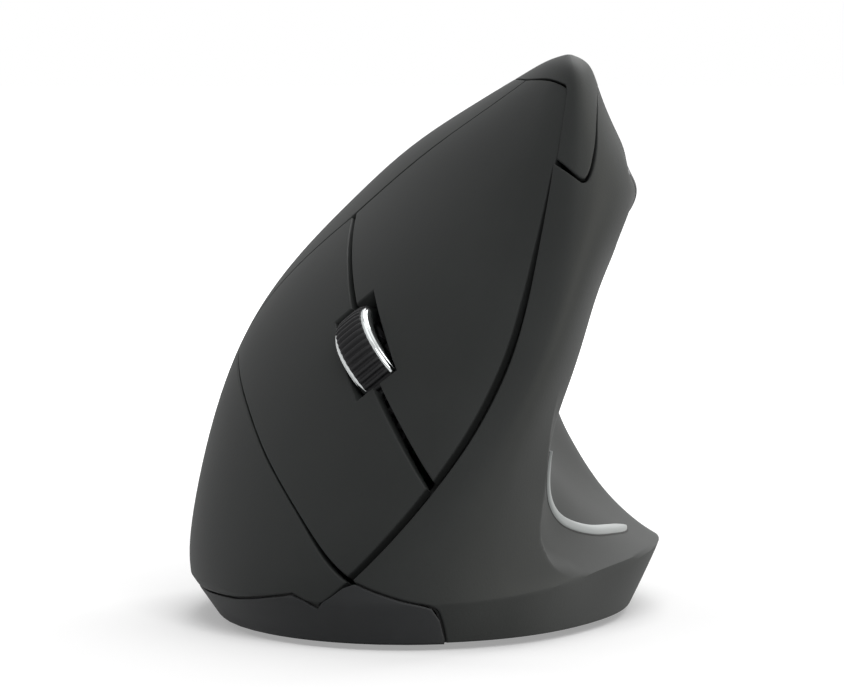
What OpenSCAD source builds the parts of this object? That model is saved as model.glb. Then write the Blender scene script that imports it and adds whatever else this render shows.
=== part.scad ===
// Vertical computer mouse: a leaning shell on a flat base, with a scroll wheel and five buttons.
// The nose points to -Y, the thumb side to +X, the palm side to -X, and the desk is at z = 0.

/* [Body] */
// Overall length from nose to tail
body_l = 120; // [117:1:128]
// Overall width from palm side to thumb ledge
body_w = 63; // [61:1:67]
// Overall height from desk to crest
body_h = 75; // [72:1:79]
// Wall of the moulded covers
wall = 2; // [1.6:0.1:2.3]
// How far the thumb scoop is pressed into the side
scoop_depth = 3.8; // [3:0.1:4.6]
// How far the nose is pinched in front of the scoop
pinch_depth = 2.4; // [1.5:0.1:3]

/* [Seams] */
// Open gap between the thumb cover and the finger buttons, at the nose
front_gap = 1.2; // [0.8:0.1:1.5]
// The same gap where it ends below the crest button
crest_gap = 0.6; // [0.5:0.05:0.8]
// Slit between the left and the right button
slit_gap = 0.7; // [0.5:0.05:0.9]
// Seam between all other moulded pieces
seam = 0.45; // [0.4:0.05:0.6]
// Seam round the crest button
crest_seam = 0.7; // [0.6:0.05:0.8]

/* [Scroll wheel] */
// Outside diameter of the tyre
wheel_d = 17; // [16:0.25:17.5]
// Width of the wheel over both rims
wheel_w = 5.8; // [5.4:0.1:6.4]
// How far the tyre stands out of the shell
wheel_out = 3; // [2.6:0.1:3.3]
// Radial depth of the rubber tyre
tyre_t = 2; // [1.6:0.1:2.4]
// Number of ribs on the tyre
rib_count = 52; // [40:1:60]
// Depth of the grooves between the ribs
rib_depth = 0.4; // [0.3:0.05:0.6]
// Width of each bright rim
rim_w = 0.9; // [0.7:0.1:1.1]
// Diameter of the wheel's axle
axle_d = 2.2; // [2:0.1:2.4]
// Number of light slots through the hub
slot_count = 12; // [8:1:16]
// Clearance between the wheel and its slot in the shell
wheel_gap = 0.5; // [0.45:0.05:0.7]
// Running clearance of axle, pins and stems
run_gap = 0.05; // [0.03:0.01:0.1]
// Wall of the wheel carrier
carrier_t = 1.4; // [1.2:0.1:1.6]

/* [Buttons] */
// Distance a tact switch stem travels
tact_travel = 0.25; // [0.2:0.05:0.3]
// Free gap between a button and its switch
touch_gap = 0.1; // [0.05:0.05:0.15]
// Depth of the flat back of the two thumb buttons below the bar
key_depth = 5; // [4.6:0.1:5.6]
// How far the thumb buttons stand proud of the cover
key_proud = 0.3; // [0.2:0.1:0.8]
// Wall of the crest button
crest_wall = 1.4; // [1.2:0.1:1.6]

/* [Base] */
// Thickness of the glide feet
foot_h = 0.8; // [0.6:0.1:1]
// Thickness of the base floor
floor_t = 1.8; // [1.6:0.1:2.2]
// Width of the glide feet
foot_w = 5; // [4:0.5:6]
// Diameter of the case screws
screw_d = 2; // [1.8:0.1:2.4]
// Diameter of the screw heads
screw_head_d = 3.8; // [3.4:0.1:4.2]
// Diameter of the frame legs that take the screws
leg_d = 5.6; // [5:0.1:6.4]

/* [Power] */
// Diameter of one battery cell
cell_d = 10.5; // [10.3:0.1:10.7]
// Length of one battery cell without its nub
cell_l = 43.7; // [43:0.1:44.2]
// Room for the contacts at each end of the cells
contact_room = 1.5; // [1.4:0.1:1.8]
// Wall of the battery bay
bay_t = 1.4; // [1.2:0.1:1.6]
// Thickness of the battery door
door_t = 1.2; // [1:0.1:1.4]
// Travel of the power slider
slider_travel = 2; // [1.5:0.1:2.5]

/* [Boards] */
// Thickness of the circuit boards
board_t = 1.2; // [1:0.1:1.6]
// Height of the main board above the base floor
board_lift = 2.4; // [2.2:0.1:3]
// Side of a tact switch body
tact_w = 6; // [5.8:0.1:6.2]
// Height of a tact switch body
tact_h = 3.5; // [3.3:0.1:3.8]
// Diameter of a tact switch stem
stem_d = 2.4; // [2.2:0.1:2.8]
// Length of a finger switch body
micro_l = 12.8; // [12.4:0.1:13]
// Width of a finger switch body
micro_w = 5.8; // [5.6:0.1:6]
// Height of a finger switch body
micro_h = 6.5; // [6.2:0.1:6.6]

/* [Hidden] */
$fn = 48;

// Sections of the body from the underside to the crest, drawn for a body of drawn_size.
// Each row: height, extra lift at the thumb ledge, then x and y of the palm, nose, thumb and tail
// points, then how full the curve is at the nose (palm side, thumb side) and at the thumb.
drawn_size = [63, 120, 74.2];
SECTIONS = [
  [0, 0, -27.6, -8, -3, -58, 27.5, 4, 3, 57, 0.5, 0.55, 0.52],
  [5.2, 3, -31.4, -8, -2, -60, 32, 4, 3, 60, 0.45, 0.48, 0.48],
  [8.2, 1.6, -31.8, -7, -1, -60, 29, 5, 3, 59.8, 0.4, 0.48, 0.48],
  [15.2, 0.5, -30.9, -5, 3, -59.2, 22, 10, 2, 57.5, 0.3, 0.52, 0.56],
  [26.2, 0, -28.2, 0, 10, -56.5, 17.4, 0, 0, 51.5, 0.25, 0.6, 0.68],
  [38.2, 0, -23.2, 6, 15.5, -52.5, 20.8, -14, -3, 42, 0.22, 0.62, 0.7],
  [48.2, 0, -15.7, 12, 18.2, -48, 24.6, -14, -4.4, 31.5, 0.22, 0.62, 0.7],
  [56.2, 0, -6.9, 12, 19.4, -44, 29.3, -14, -3, 22, 0.22, 0.62, 0.7],
  [63.2, 0, 2, 5, 19.6, -40, 25.2, -16, 4, 11, 0.22, 0.62, 0.7],
  [69.2, 0, 10.4, -6, 19.6, -36, 22.6, -19, 11.4, -2, 0.24, 0.62, 0.7],
  [73.2, 0, 15.3, -16, 19.2, -32, 21.6, -22, 16, -13, 0.3, 0.6, 0.65],
  [74.2, 0, 18.6, -24, 18.6, -24, 18.6, -24, 18.6, -24, 0.3, 0.6, 0.65]];
LAST = len(SECTIONS) - 1;
// Fullness of the plan curve at the palm point (front, back), the tail (palm, thumb) and the thumb
palm_front = 0.6;
palm_back = 0.55;
tail_full = 0.55;
thumb_back = 0.6;
// Centre and half width of the scoop and of the nose pinch, as y and z on the drawn body
scoop_at = [-12, 25];
scoop_size = [22, 14];
pinch_at = [-34, 11];
pinch_size = [13, 8];
// The presses fade in between these two widths on the drawn body
press_from = 4;
press_fade = 14;

// Body surface: u runs once round in four quarters (0 nose, 1 palm, 2 tail, 3 thumb) and v runs
// through the section rows. Rows blend by a cubic B-spline, above a straight chamfer at the foot.
function bezier(a, b, c, d, t) =
  pow(1 - t, 3)*a + 3*pow(1 - t, 2)*t*b + 3*(1 - t)*t*t*c + pow(t, 3)*d;
function section(i) = i < 1 ? 2*SECTIONS[1] - SECTIONS[2]
  : i > LAST ? 2*SECTIONS[LAST] - SECTIONS[LAST - 1] : SECTIONS[i];
function row(v) = v < 1 ? (1 - v)*SECTIONS[0] + v*SECTIONS[1]
  : let (w = min(v, LAST - 0.0001), i = floor(w), f = w - i)
    (pow(1 - f, 3)*section(i - 1) + (3*pow(f, 3) - 6*f*f + 4)*section(i)
      + (-3*pow(f, 3) + 3*f*f + 3*f + 1)*section(i + 1) + pow(f, 3)*section(i + 2))/6;
function smooth(t) = let (c = max(0, min(1, t))) c*c*(3 - 2*c);
function plan(q, r) = let (k = floor(q), t = q - k,
    P = [r[2], r[3]], N = [r[4], r[5]], T = [r[6], r[7]], B = [r[8], r[9]])
  k == 0 ? [bezier(N.x, N.x + r[10]*(P.x - N.x), P.x, P.x, t),
            bezier(N.y, N.y, P.y + palm_front*(N.y - P.y), P.y, t)]
  : k == 1 ? [bezier(P.x, P.x, B.x + tail_full*(P.x - B.x), B.x, t),
              bezier(P.y, P.y + palm_back*(B.y - P.y), B.y, B.y, t)]
  : k == 2 ? [bezier(B.x, B.x + tail_full*(T.x - B.x), T.x, T.x, t),
              bezier(B.y, B.y, T.y + thumb_back*(B.y - T.y), T.y, t)]
  : [bezier(T.x, T.x, N.x + r[11]*(T.x - N.x), N.x, t),
     bezier(T.y, T.y + r[12]*(N.y - T.y), N.y, N.y, t)];
function press(depth, at, size, y, z) =
  depth*exp(-pow((y - at.x)/size.x, 2) - pow((z - at.y)/size.y, 2));
function skin(u, v) = let (r = row(v), q = u - 4*floor(u/4), p = plan(q, r),
    z = r[0] + r[1]*smooth(1 - abs(q - 3)), side = smooth((p.x - press_from)/press_fade),
    x = p.x - side*(press(scoop_depth, scoop_at, scoop_size, p.y, z)
      + press(pinch_depth, pinch_at, pinch_size, p.y, z)))
  [x*body_w/drawn_size.x, p.y*body_l/drawn_size.y, foot_h + z*(body_h - foot_h)/drawn_size.z];
function unit(a) = a/norm(a);
function normal(u, v, h = 0.003) =
  unit(cross(skin(u, v + h) - skin(u, v - h), skin(u + h, v) - skin(u - h, v)));
// Moves a surface point p by g millimetres along direction d of the surface coordinates
function nudge(p, d, g, h = 0.001) =
  p + d*g*h/norm(skin(p.x + h*d.x, p.y + h*d.y) - skin(p.x, p.y));
function nudged(c, d, g) = [for (p = c) nudge(p, d, g)];
// Edge of the front gap beside its border points i to j, on the button side (e = 1) or the thumb side
function gap_edge(i, j, e) = [for (k = [i:j])
  nudge(GAP[k], side_out, e*(front_gap + (crest_gap - front_gap)*k/(len(GAP) - 1))/2)];
// Moves every point of a border line sideways on the body by g millimetres, to the left hand of
// a walker along the line
function across(c, i, h = 0.001) = let (a = c[max(0, i - 1)], b = c[min(len(c) - 1, i + 1)],
    p = c[i], o = skin(p.x, p.y), x = cross(normal(p.x, p.y), skin(b.x, b.y) - skin(a.x, a.y)),
    su = (skin(p.x + h, p.y) - o)/h, sv = (skin(p.x, p.y + h) - o)/h)
  unit([x*su/(su*su), x*sv/(sv*sv)]);
function beside(c, g) = [for (i = [0:len(c) - 1]) nudge(c[i], across(c, i), g)];
// Outward direction for the walls: level at the foot chamfer, along the normal higher up
function outward(u, v) = let (n = normal(u, v)) unit([n.x, n.y, n.z*smooth((v - 1)/0.8)]);

// A frame is [origin, e1, e2, e3]; on the body e3 is the outward normal
function surface_frame(p, d, h = 0.001) = let (o = skin(p.x, p.y), n = normal(p.x, p.y),
    t = skin(p.x + h*d.x, p.y + h*d.y) - o, e = unit(t - n*(t*n))) [o, e, cross(n, e), n];
function from_frame(f, q) = f[0] + q.x*f[1] + q.y*f[2] + q.z*f[3];
module in_frame(f) multmatrix([for (i = [0:2]) [f[1][i], f[2][i], f[3][i], f[0][i]]]) children();

// Finger frame at the scroll wheel: e1 runs back along the slit, e2 to the palm, e3 outwards
wheel_uv = [0.514, 4.909];
slit_heading = [0.18, 1];
finger = surface_frame(wheel_uv, slit_heading);
// Surface coordinates of the point over f, e in the finger frame, by Newton steps
function finger_uv(f, e, p = wheel_uv, n = 5, h = 0.001) = n == 0 ? p
  : let (o = skin(p.x, p.y), a = (skin(p.x + h, p.y) - o)/h, b = (skin(p.x, p.y + h) - o)/h,
      q = o - finger[0], df = f - q*finger[1], de = e - q*finger[2],
      m = [a*finger[1], b*finger[1], a*finger[2], b*finger[2]], d = m[0]*m[3] - m[1]*m[2])
    finger_uv(f, e, p + [df*m[3] - m[1]*de, m[0]*de - m[2]*df]/d, n - 1);

// Border lines on the body, as points in surface coordinates
GAP = [[0.232, 1.83], [0.19, 2.6], [0.15, 3.4], [0.128, 4.05], [0.126, 4.7], [0.142, 5.5],
  [0.16, 6.45], [0.175, 7.55]];
LOWER = [[0.232, 1.83], [0.454, 2.88], [0.656, 3.67], [0.788, 4.17], [0.916, 4.56], [1, 4.68]];
BEND_R = [[1, 4.68], [0.925, 5.5], [0.84, 6.45]];
BEND_L = [[0.84, 6.45], [0.77, 8], [0.72, 9.42]];
CREST_FRONT = [[0.162, 7.68], [0.166, 8.4], [0.172, 9.1]];
CREST_LEFT = [[0.19, 9.28], [0.3, 9.38], [0.48, 9.46], [0.72, 9.42]];
CREST_REAR = [[0.72, 9.42], [1, 9.4], [1.5, 9.3], [2, 9.2]];
CREST_RIGHT = [[0.15, 7.64], [0, 7.34], [-0.05, 7.29], [-0.1, 7.4], [-0.2, 7.87], [-0.35, 8.5],
  [-0.6, 9], [-1, 9.25], [-1.5, 9.25], [-2, 9.2]];
NOSE_EDGE = [[-0.11, 0.1], [-0.085, 0.6], [-0.058, 0.91], [0.028, 1.16], [0.12, 1.47], [0.2, 1.75]];
PALM_FRONT = [[0.294, 0.83], [0.262, 1.25], [0.236, 1.7]];
PALM_EDGE = [[0.294, 0.83], [0.334, 0.98], [0.385, 1.22], [0.436, 1.05], [0.524, 0.9],
  [0.614, 0.8], [0.8, 0.74], [1.15, 0.74], [1.5, 0.74], [2, 0.74]];
STRIP = [[-0.575, 3.7], [-0.582, 3.4], [-0.598, 3.01], [-0.636, 2.61], [-0.712, 2.31],
  [-0.802, 2.16], [-0.896, 2.02]];

// Catmull-Rom refinement of a point list, n steps to a span
refine_steps = 4;
function refine(c, n = refine_steps) = let (m = len(c) - 1) concat([for (i = [0:m - 1]) each
    let (a = c[max(0, i - 1)], b = c[i], d = c[i + 1], e = c[min(m, i + 2)])
    [for (k = [0:n - 1]) let (t = k/n) b + 0.5*t*((d - a) + t*((2*a - 5*b + 4*d - e)
      + t*(3*b - a - 3*d + e)))]], [c[m]]);
// Gives each point of a run a parameter from a to b, even in millimetres along the body
function run(c, a, b) = let (q = [for (p = c) skin(p.x, p.y)],
    l = [for (i = 0, s = 0; i < len(c); s = s + (i < len(c) - 1 ? norm(q[i + 1] - q[i]) : 0),
      i = i + 1) s])
  [for (i = [0:len(c) - 1]) [a + (b - a)*l[i]/l[len(c) - 1], c[i].x, c[i].y]];
function at(c, s) = [lookup(s, [for (p = c) [p.x, p.y]]), lookup(s, [for (p = c) [p.x, p.z]])];
// Patch point between four border runs: bottom and top in s, left and right in t
function coons(b, s, t) = let (lo = at(b[0], s), hi = at(b[1], s), l = at(b[2], t), r = at(b[3], t))
  (1 - t)*lo + t*hi + (1 - s)*l + s*r - (1 - s)*(1 - t)*at(b[0], 0) - s*(1 - t)*at(b[0], 1)
  - (1 - s)*t*at(b[1], 0) - s*t*at(b[1], 1);
function patch(b, ss, ts) = [for (s = ss) [for (t = ts) coons(b, s, t)]];
function lifted(g, d) = [for (r = g) [for (p = r)
  d == 0 ? skin(p.x, p.y) : skin(p.x, p.y) + d*normal(p.x, p.y)]];
// Inner face of a wall of thickness d
function lined(g, d) = [for (r = g) [for (p = r) skin(p.x, p.y) - d*outward(p.x, p.y)]];
function params(c) = [for (p = c) p.x];
// Stops through all values of k, with n[i] steps from the value i to the next
function stops(k, n) = concat([for (i = [0:len(k) - 2]) each
  [for (j = [0:n[i] - 1]) k[i] + (k[i + 1] - k[i])*j/n[i]]], [k[len(k) - 1]]);

// Closed solid between two grids of points; cells for which gone(i, j) holds are left open
no_hole = function (i, j) false;
module shell(outer, inner, gone = no_hole, flip = false) {
  m = len(outer) - 1;
  n = len(outer[0]) - 1;
  w = n + 1;
  o = (m + 1)*w;
  there = function (i, j) i >= 0 && i < m && j >= 0 && j < n && !gone(i, j);
  pair = function (a, b, c, d) flip ? [[a, c, b], [a, d, c]] : [[a, b, c], [a, c, d]];
  faces = [for (i = [0:m - 1]) for (j = [0:n - 1]) if (!gone(i, j))
    let (a = i*w + j, b = a + w, c = b + 1, d = a + 1) each concat(
      pair(a, b, c, d), pair(a + o, d + o, c + o, b + o),
      there(i, j - 1) ? [] : pair(b, a, a + o, b + o),
      there(i + 1, j) ? [] : pair(c, b, b + o, c + o),
      there(i, j + 1) ? [] : pair(d, c, c + o, d + o),
      there(i - 1, j) ? [] : pair(a, d, d + o, a + o))];
  polyhedron([for (r = outer) each r, for (r = inner) each r], faces, convexity = 8);
}

// Finger buttons: the slit between them runs from beside the front gap to the corner of the palm cover,
// past the slot for the wheel
function ahead(p) = (skin(p.x, p.y) - finger[0])*finger[1];
slit_front = -ahead(GAP[2]) - 0.7*front_gap;
slit_rear = ahead(BEND_L[0]) - seam/2;
slot_sag = 0.5;
wheel_z = wheel_out - wheel_d/2;
slot_l = 2*sqrt(pow(wheel_d/2, 2) - pow(wheel_z + wall + slot_sag, 2)) + 2*wheel_gap;
slot_w = wheel_w + 2*wheel_gap;
slit_steps = 18;
function slit_side(e) = run([for (k = [0:slit_steps])
  finger_uv(-slit_front + (slit_rear + slit_front)*k/slit_steps, e*slit_gap/2)], 0, 1);
module wheel_slot() in_frame(finger) translate([-slot_l/2, -slot_w/2, -wheel_d])
  cube([slot_l, slot_w, 2*wheel_d]);
side_out = [1, 0];
up = [0, 1];
function first(c) = [c[0].y, c[0].z];
function last(c) = let (p = c[len(c) - 1]) [p.y, p.z];
// Replaces the ends of a run of points, so that borders meet at the corners
function ends(c, a, b) = [a, for (i = [1:len(c) - 2]) c[i], b];
function straight(a, b, n) = [for (k = [0:n]) a + (b - a)*k/n];
tail_steps = 20;
foot_steps = 24;
rim_points = 40;

left_rows = 13;
right_rows = 9;
function left_borders() = let (
    slit = slit_side(-1),
    corner = nudge(nudge(CREST_LEFT[0], up, -crest_seam/2), side_out, seam/2),
    top_rear = nudge(nudge(BEND_L[2], up, -crest_seam/2), side_out, -seam/2),
    front = concat([first(slit)], gap_edge(3, 7, 1), nudged(CREST_FRONT, side_out, seam/2), [corner]),
    top = concat([corner], nudged([CREST_LEFT[1], CREST_LEFT[2]], up, -crest_seam/2), [top_rear]),
    rear = [last(slit), nudge(BEND_L[1], side_out, -seam/2), top_rear])
  [slit, run(refine(top), 0, 1), run(front, 0, 1), run(refine(rear), 0, 1)];
module left_button() color("#2b2c2d") difference() {
  g = patch(left_borders(), stops([0, 1], [slit_steps]), stops([0, 1], [left_rows]));
  shell(lifted(g, 0), lined(g, wall));
  wheel_slot();
}

function right_borders() = let (
    slit = slit_side(1),
    low_front = nudge(gap_edge(0, 0, 1)[0], up, seam/2 + 0.2),
    low_rear = nudge(nudge(LOWER[5], up, seam/2), side_out, -seam/2),
    low = concat([low_front], nudged([for (i = [1:4]) LOWER[i]], up, seam/2), [low_rear]),
    front = concat([low_front], gap_edge(1, 1, 1), [first(slit)]),
    rear = [low_rear, nudge(BEND_R[1], side_out, -seam/2), last(slit)])
  [run(refine(low), 0, 1), slit, run(refine(front), 0, 1), run(refine(rear), 0, 1)];
module right_button() color("#2b2c2d") difference() {
  g = patch(right_borders(), stops([0, 1], [slit_steps]), stops([0, 1], [right_rows]));
  shell(lifted(g, 0), lined(g, wall));
  wheel_slot();
}

// Palm cover: from the base edge up to the right button, the two bend lines and the crest
PALM_STOPS = [0, 0.36, 0.5, 0.66, 1];
function palm_borders() = let (
    front_low = nudge(PALM_FRONT[0], up, seam/2),
    front_top = nudge(nudge(LOWER[0], up, -seam/2), side_out, seam/2),
    low_rear = nudge(nudge(LOWER[5], up, -seam/2), side_out, seam/2),
    mid_rear = nudge(BEND_L[0], side_out, seam/2),
    top_front = nudge(nudge(BEND_L[2], up, -crest_seam/2), side_out, seam/2),
    tail_top = nudge(nudge(CREST_REAR[3], up, -crest_seam/2), side_out, -seam/2),
    tail_low = nudge(nudge(PALM_EDGE[9], up, seam/2), side_out, -seam/2),
    low = concat([front_low], nudged([for (i = [1:8]) PALM_EDGE[i]], up, seam/2)),
    top = concat(
      run(refine(ends(nudged(LOWER, up, -seam/2), front_top, low_rear)), 0, PALM_STOPS[1]),
      run(refine([low_rear, nudge(BEND_R[1], side_out, seam/2), mid_rear]),
        PALM_STOPS[1], PALM_STOPS[2]),
      run(refine([mid_rear, nudge(BEND_L[1], side_out, seam/2), top_front]),
        PALM_STOPS[2], PALM_STOPS[3]),
      run(refine(concat([top_front], nudged([CREST_REAR[1], CREST_REAR[2]], up, -crest_seam/2),
        [tail_top])), PALM_STOPS[3], 1)),
    front = [front_low, nudge(PALM_FRONT[1], side_out, seam/2), front_top])
  [concat(run(low, 0, PALM_STOPS[1]), run([low[8], tail_low], PALM_STOPS[1], 1)), top,
   run(front, 0, 1), run(straight(tail_low, tail_top, tail_steps), 0, 1)];
// Grid steps: one by one along the rim's bend, then between the corners of the finger buttons
PALM_STEPS = [1, 1, 1, 1, 1, 2, 4, 4, 4, 5, 12];
palm_rows = 17;
module palm_cover() color("#28292a") {
  b = palm_borders();
  low = [for (s = params(b[0])) if (s < PALM_STOPS[1]) s];
  g = patch(b, stops(concat(low, [for (i = [1:4]) PALM_STOPS[i]]),
    PALM_STEPS), stops([0, 1], [palm_rows]));
  shell(lifted(g, 0), lined(g, wall));
}

// Thumb cover: nose, scoop, ledge and bar, with two windows for the thumb buttons
KEY_S = [0.5, 0.612, 0.628, 0.735];
KEY_T = [0.7, 0.8];
// Grid steps: round the notch for the crest button, then the two windows, then on to the tail
NOTCH_STEPS = [3, 1, 1, 2, 2, 6];
THUMB_STEPS = [5, 1, 5, 9];
RISE_STEPS = [20, 4, 5];
function total(c, n) = n == 0 ? 0 : c[n - 1] + total(c, n - 1);
key_i = [for (k = [0:3]) total(NOTCH_STEPS, len(NOTCH_STEPS)) + total(THUMB_STEPS, k)];
key_j = [for (k = [1:2]) total(RISE_STEPS, k)];
function thumb_grid() = let (b = thumb_borders(), top = params(b[1]),
    notch = [for (i = [0:len(NOTCH_STEPS) - 1]) top[refine_steps*i]])
  patch(b, stops(concat(notch, KEY_S, [1]), concat(NOTCH_STEPS, THUMB_STEPS)),
    stops(concat([0], KEY_T, [1]), RISE_STEPS));
function thumb_borders() = let (
    foot = nudge(NOSE_EDGE[0], side_out, -seam/2),
    gap_top = nudge(gap_edge(7, 7, -1)[0], up, -0.2),
    tail_top = nudge(nudge(CREST_RIGHT[9], up, -crest_seam/2), side_out, seam/2),
    tail_low = nudge([-2, NOSE_EDGE[0].y], side_out, seam/2),
    low = straight(foot, tail_low, foot_steps),
    top = ends(beside(CREST_RIGHT, -crest_seam/2), gap_top, tail_top),
    nose = ends(nudged(NOSE_EDGE, [-0.02, 0.17], 0.65*seam), foot, NOSE_EDGE[5] + [-0.02, 0.06]),
    front = concat(nose, gap_edge(1, 6, -1), [gap_top]))
  [run(low, 0, 1), run(refine(top), 0, 1), run(refine(front), 0, 1),
   run(straight(tail_low, tail_top, tail_steps), 0, 1)];
// Bar frame on the thumb side: e1 runs to the tail, e2 up, e3 outwards, level with the desk
bar_uv = [-1, 7];
bar = let (f = surface_frame(bar_uv, [-1, 0]), n = unit([f[3].x, f[3].y, 0]))
  [f[0], [-n.y, n.x, 0], [0, 0, 1], n];
// Grid cells of the two windows, and with edge = 1 the grid points on their borders
function in_window(i, j, edge = 0) = j >= key_j[0] && j < key_j[1] + edge
  && ((i >= key_i[0] && i < key_i[1] + edge) || (i >= key_i[2] && i < key_i[3] + edge));
module thumb_cover() color("#303132") {
  g = thumb_grid();
  inner = [for (i = [0:len(g) - 1]) [for (j = [0:len(g[0]) - 1]) let (p = g[i][j],
      n = outward(p.x, p.y))
    skin(p.x, p.y) - wall*(in_window(i, j, edge = 1) ? bar[3]/(n*bar[3]) : n)]];
  shell(lifted(g, 0), inner, function (i, j) in_window(i, j), flip = true);
  gap_lip();
}
// Lip of the thumb cover behind the front gap, which keeps light and dust out: places across the gap
// from under the cover to under the buttons, and how deep its top lies there
LIP_ACROSS = [-2.5, -1.25, -0.9, 2];
LIP_DEPTH = [1.5, 1.5, 3.1, 3.1];
lip_back = 3.8;
lip_start = 1;
module gap_lip() {
  c = refine([for (i = [0:6]) GAP[i]], 3);
  g = [for (i = [lip_start:len(c) - 1]) [for (e = LIP_ACROSS) nudge(c[i], across(c, i), e)]];
  place = function (p, d) skin(p.x, p.y) - d*normal(p.x, p.y);
  shell([for (r = g) [for (j = [0:3]) place(r[j], LIP_DEPTH[j])]],
    [for (r = g) [for (p = r) place(p, lip_back)]], flip = true);
}
// A thumb button fills window k with a seam all round and ends in a flat back
key_steps = [6, 4];
function key_grid(k) = let (b = thumb_borders(), h = 0.001,
    s = [KEY_S[2*k], KEY_S[2*k + 1]], t = KEY_T, m = coons(b, (s[0] + s[1])/2, (t[0] + t[1])/2),
    ds = coons(b, (s[0] + s[1])/2 + h, (t[0] + t[1])/2),
    dt = coons(b, (s[0] + s[1])/2, (t[0] + t[1])/2 + h),
    a = seam*h/norm(skin(ds.x, ds.y) - skin(m.x, m.y)),
    c = seam*h/norm(skin(dt.x, dt.y) - skin(m.x, m.y)))
  patch(b, stops([s[0] + a, s[1] - a], [key_steps.x]), stops([t[0] + c, t[1] - c], [key_steps.y]));
module thumb_key(k) {
  g = key_grid(k);
  rise = function (i, j) key_proud*(i == 0 || j == 0 || i == key_steps.x || j == key_steps.y ? 0 : 1);
  outer = [for (i = [0:len(g) - 1]) [for (j = [0:len(g[0]) - 1])
    skin(g[i][j].x, g[i][j].y) + rise(i, j)*bar[3]]];
  inner = [for (r = outer) [for (q = r) q - ((q - bar[0])*bar[3] + key_depth)*bar[3]]];
  shell(outer, inner, flip = true);
}
module forward_button() color("#1f2021") thumb_key(0);
module back_button() color("#1f2021") thumb_key(1);

// Bright inlay that sweeps down the scoop to the ledge, standing just off the cover
strip_w = 1.2;
strip_off = 0.35;
strip_t = 0.4;
module trim_strip() color("#c9ccce") {
  c = refine(STRIP);
  g = [for (i = [0:len(c) - 1]) let (taper = min(1, 0.4 + i/3, 0.4 + (len(c) - 1 - i)/2))
    [for (e = [-1, 0, 1]) nudge(c[i], across(c, i), e*taper*strip_w/2)]];
  shell(lifted(g, strip_off + strip_t), lifted(g, strip_off), flip = true);
}

// Crest button: a cap over the ridge whose front lobe comes down between the two covers
crest_rows = 6;
crest_lip = 0.8;
// Lines rise from the border to a ring this many rows below the top; RING gives the quarter at
// which the line from border point i meets the ring, so that the lines of the lobe fan out
crest_ring = 0.6;
RING = [[0, -2], [8, -1.2], [16, -0.65], [22, -0.4], [32, -0.08], [38, 0.17], [50, 0.75], [62, 2]];
lobe_tip = 2;
function crest_border() = let (
    tail = nudge(CREST_REAR[3], up, crest_seam/2),
    edge = beside([for (i = [0:9]) if (i != lobe_tip) CREST_RIGHT[i]], crest_seam/2),
    ridge = beside(concat(CREST_LEFT, [for (i = [1:3]) CREST_REAR[i]]), -crest_seam/2),
    right = refine(ends(edge, edge[0], tail - [4, 0])),
    front = nudged(refine(CREST_FRONT, 2), side_out, -seam/2),
    back = refine(ends(ridge, ridge[0], tail)))
  concat([for (i = [len(right) - 1:-1:0]) right[i]], front, [for (i = [0:len(back) - 2]) back[i]]);
module crest_button() color("#28292a") {
  b = crest_border();
  n = len(b);
  g = [for (i = [0:n - 1]) let (p = b[i], r = [lookup(i, RING), LAST - crest_ring])
    [for (k = [0:crest_rows]) p + (r - p)*k/crest_rows]];
  w = crest_rows + 1;
  outer = lifted(g, 0);
  inner = [for (r = g) [for (k = [0:crest_rows]) skin(r[k].x, r[k].y)
    - (k == 0 ? crest_lip : crest_wall)*normal(r[k].x, r[k].y)]];
  o = n*w;
  top = skin(0, LAST);
  tip = 2*o;
  faces = [for (i = [0:n - 1]) let (a = i*w, b = ((i + 1) % n)*w, e = crest_rows) each concat(
    [for (j = [0:e - 1]) each [
      [a + j, b + j, b + j + 1], [a + j, b + j + 1, a + j + 1],
      [o + a + j, o + b + j + 1, o + b + j], [o + a + j, o + a + j + 1, o + b + j + 1]]],
    [[a + e, b + e, tip], [o + b + e, o + a + e, tip + 1], [b, a, o + a], [b, o + a, o + b]])];
  polyhedron([for (r = outer) each r, for (r = inner) each r, top, top - [0, 0, crest_wall]],
    faces, convexity = 6);
}

// Scroll wheel, about the finger frame's e2 axis
hub_d = wheel_d - 2*tyre_t;
module on_axle() in_frame(finger) translate([0, 0, wheel_z]) rotate([-90, 0, 0]) children();
module ring(d1, d2, h) difference() {
  cylinder(d = d1, h = h, center = true);
  cylinder(d = d2, h = h + 1, center = true);
}
carrier_in = wheel_w/2 + 0.5;
carrier_out = carrier_in + carrier_t;
axle_end = 0.5;
// Light slots of the hub: centre and length as shares of the hub diameter, and width
light_r = 0.32;
light_l = 0.24;
light_w = 1.6;
module wheel_hub() color("#3a3b3d") on_axle() {
  difference() {
    cylinder(d = hub_d, h = wheel_w - 2*rim_w, center = true);
    for (k = [0:slot_count - 1]) rotate(360*k/slot_count) translate([hub_d*light_r, 0, 0])
      cube([hub_d*light_l, light_w, wheel_w], center = true);
  }
  cylinder(d = axle_d, h = 2*carrier_out + 2*axle_end, center = true);
}
module wheel_tyre() color("#151516") on_axle() difference() {
  ring(wheel_d, hub_d, wheel_w - 2*rim_w);
  for (k = [0:rib_count - 1]) rotate(360*k/rib_count) translate([wheel_d/2, 0, 0])
    cube([2*rib_depth, groove_share*PI*wheel_d/rib_count, wheel_w], center = true);
}
groove_share = 0.42;
rim_drop = 0.35;
rim_step = 0.3;
module wheel_rims() color("#d6d8da") for (e = [-1, 1]) on_axle()
  translate([0, 0, e*(wheel_w - rim_w)/2]) difference() {
    ring(wheel_d - 2*rim_drop, hub_d - 2, rim_w);
    translate([0, 0, e*rim_w/2]) ring(wheel_d + 2, wheel_d - 2*rim_drop - 2*rim_step, 2*rim_step);
  }

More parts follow.
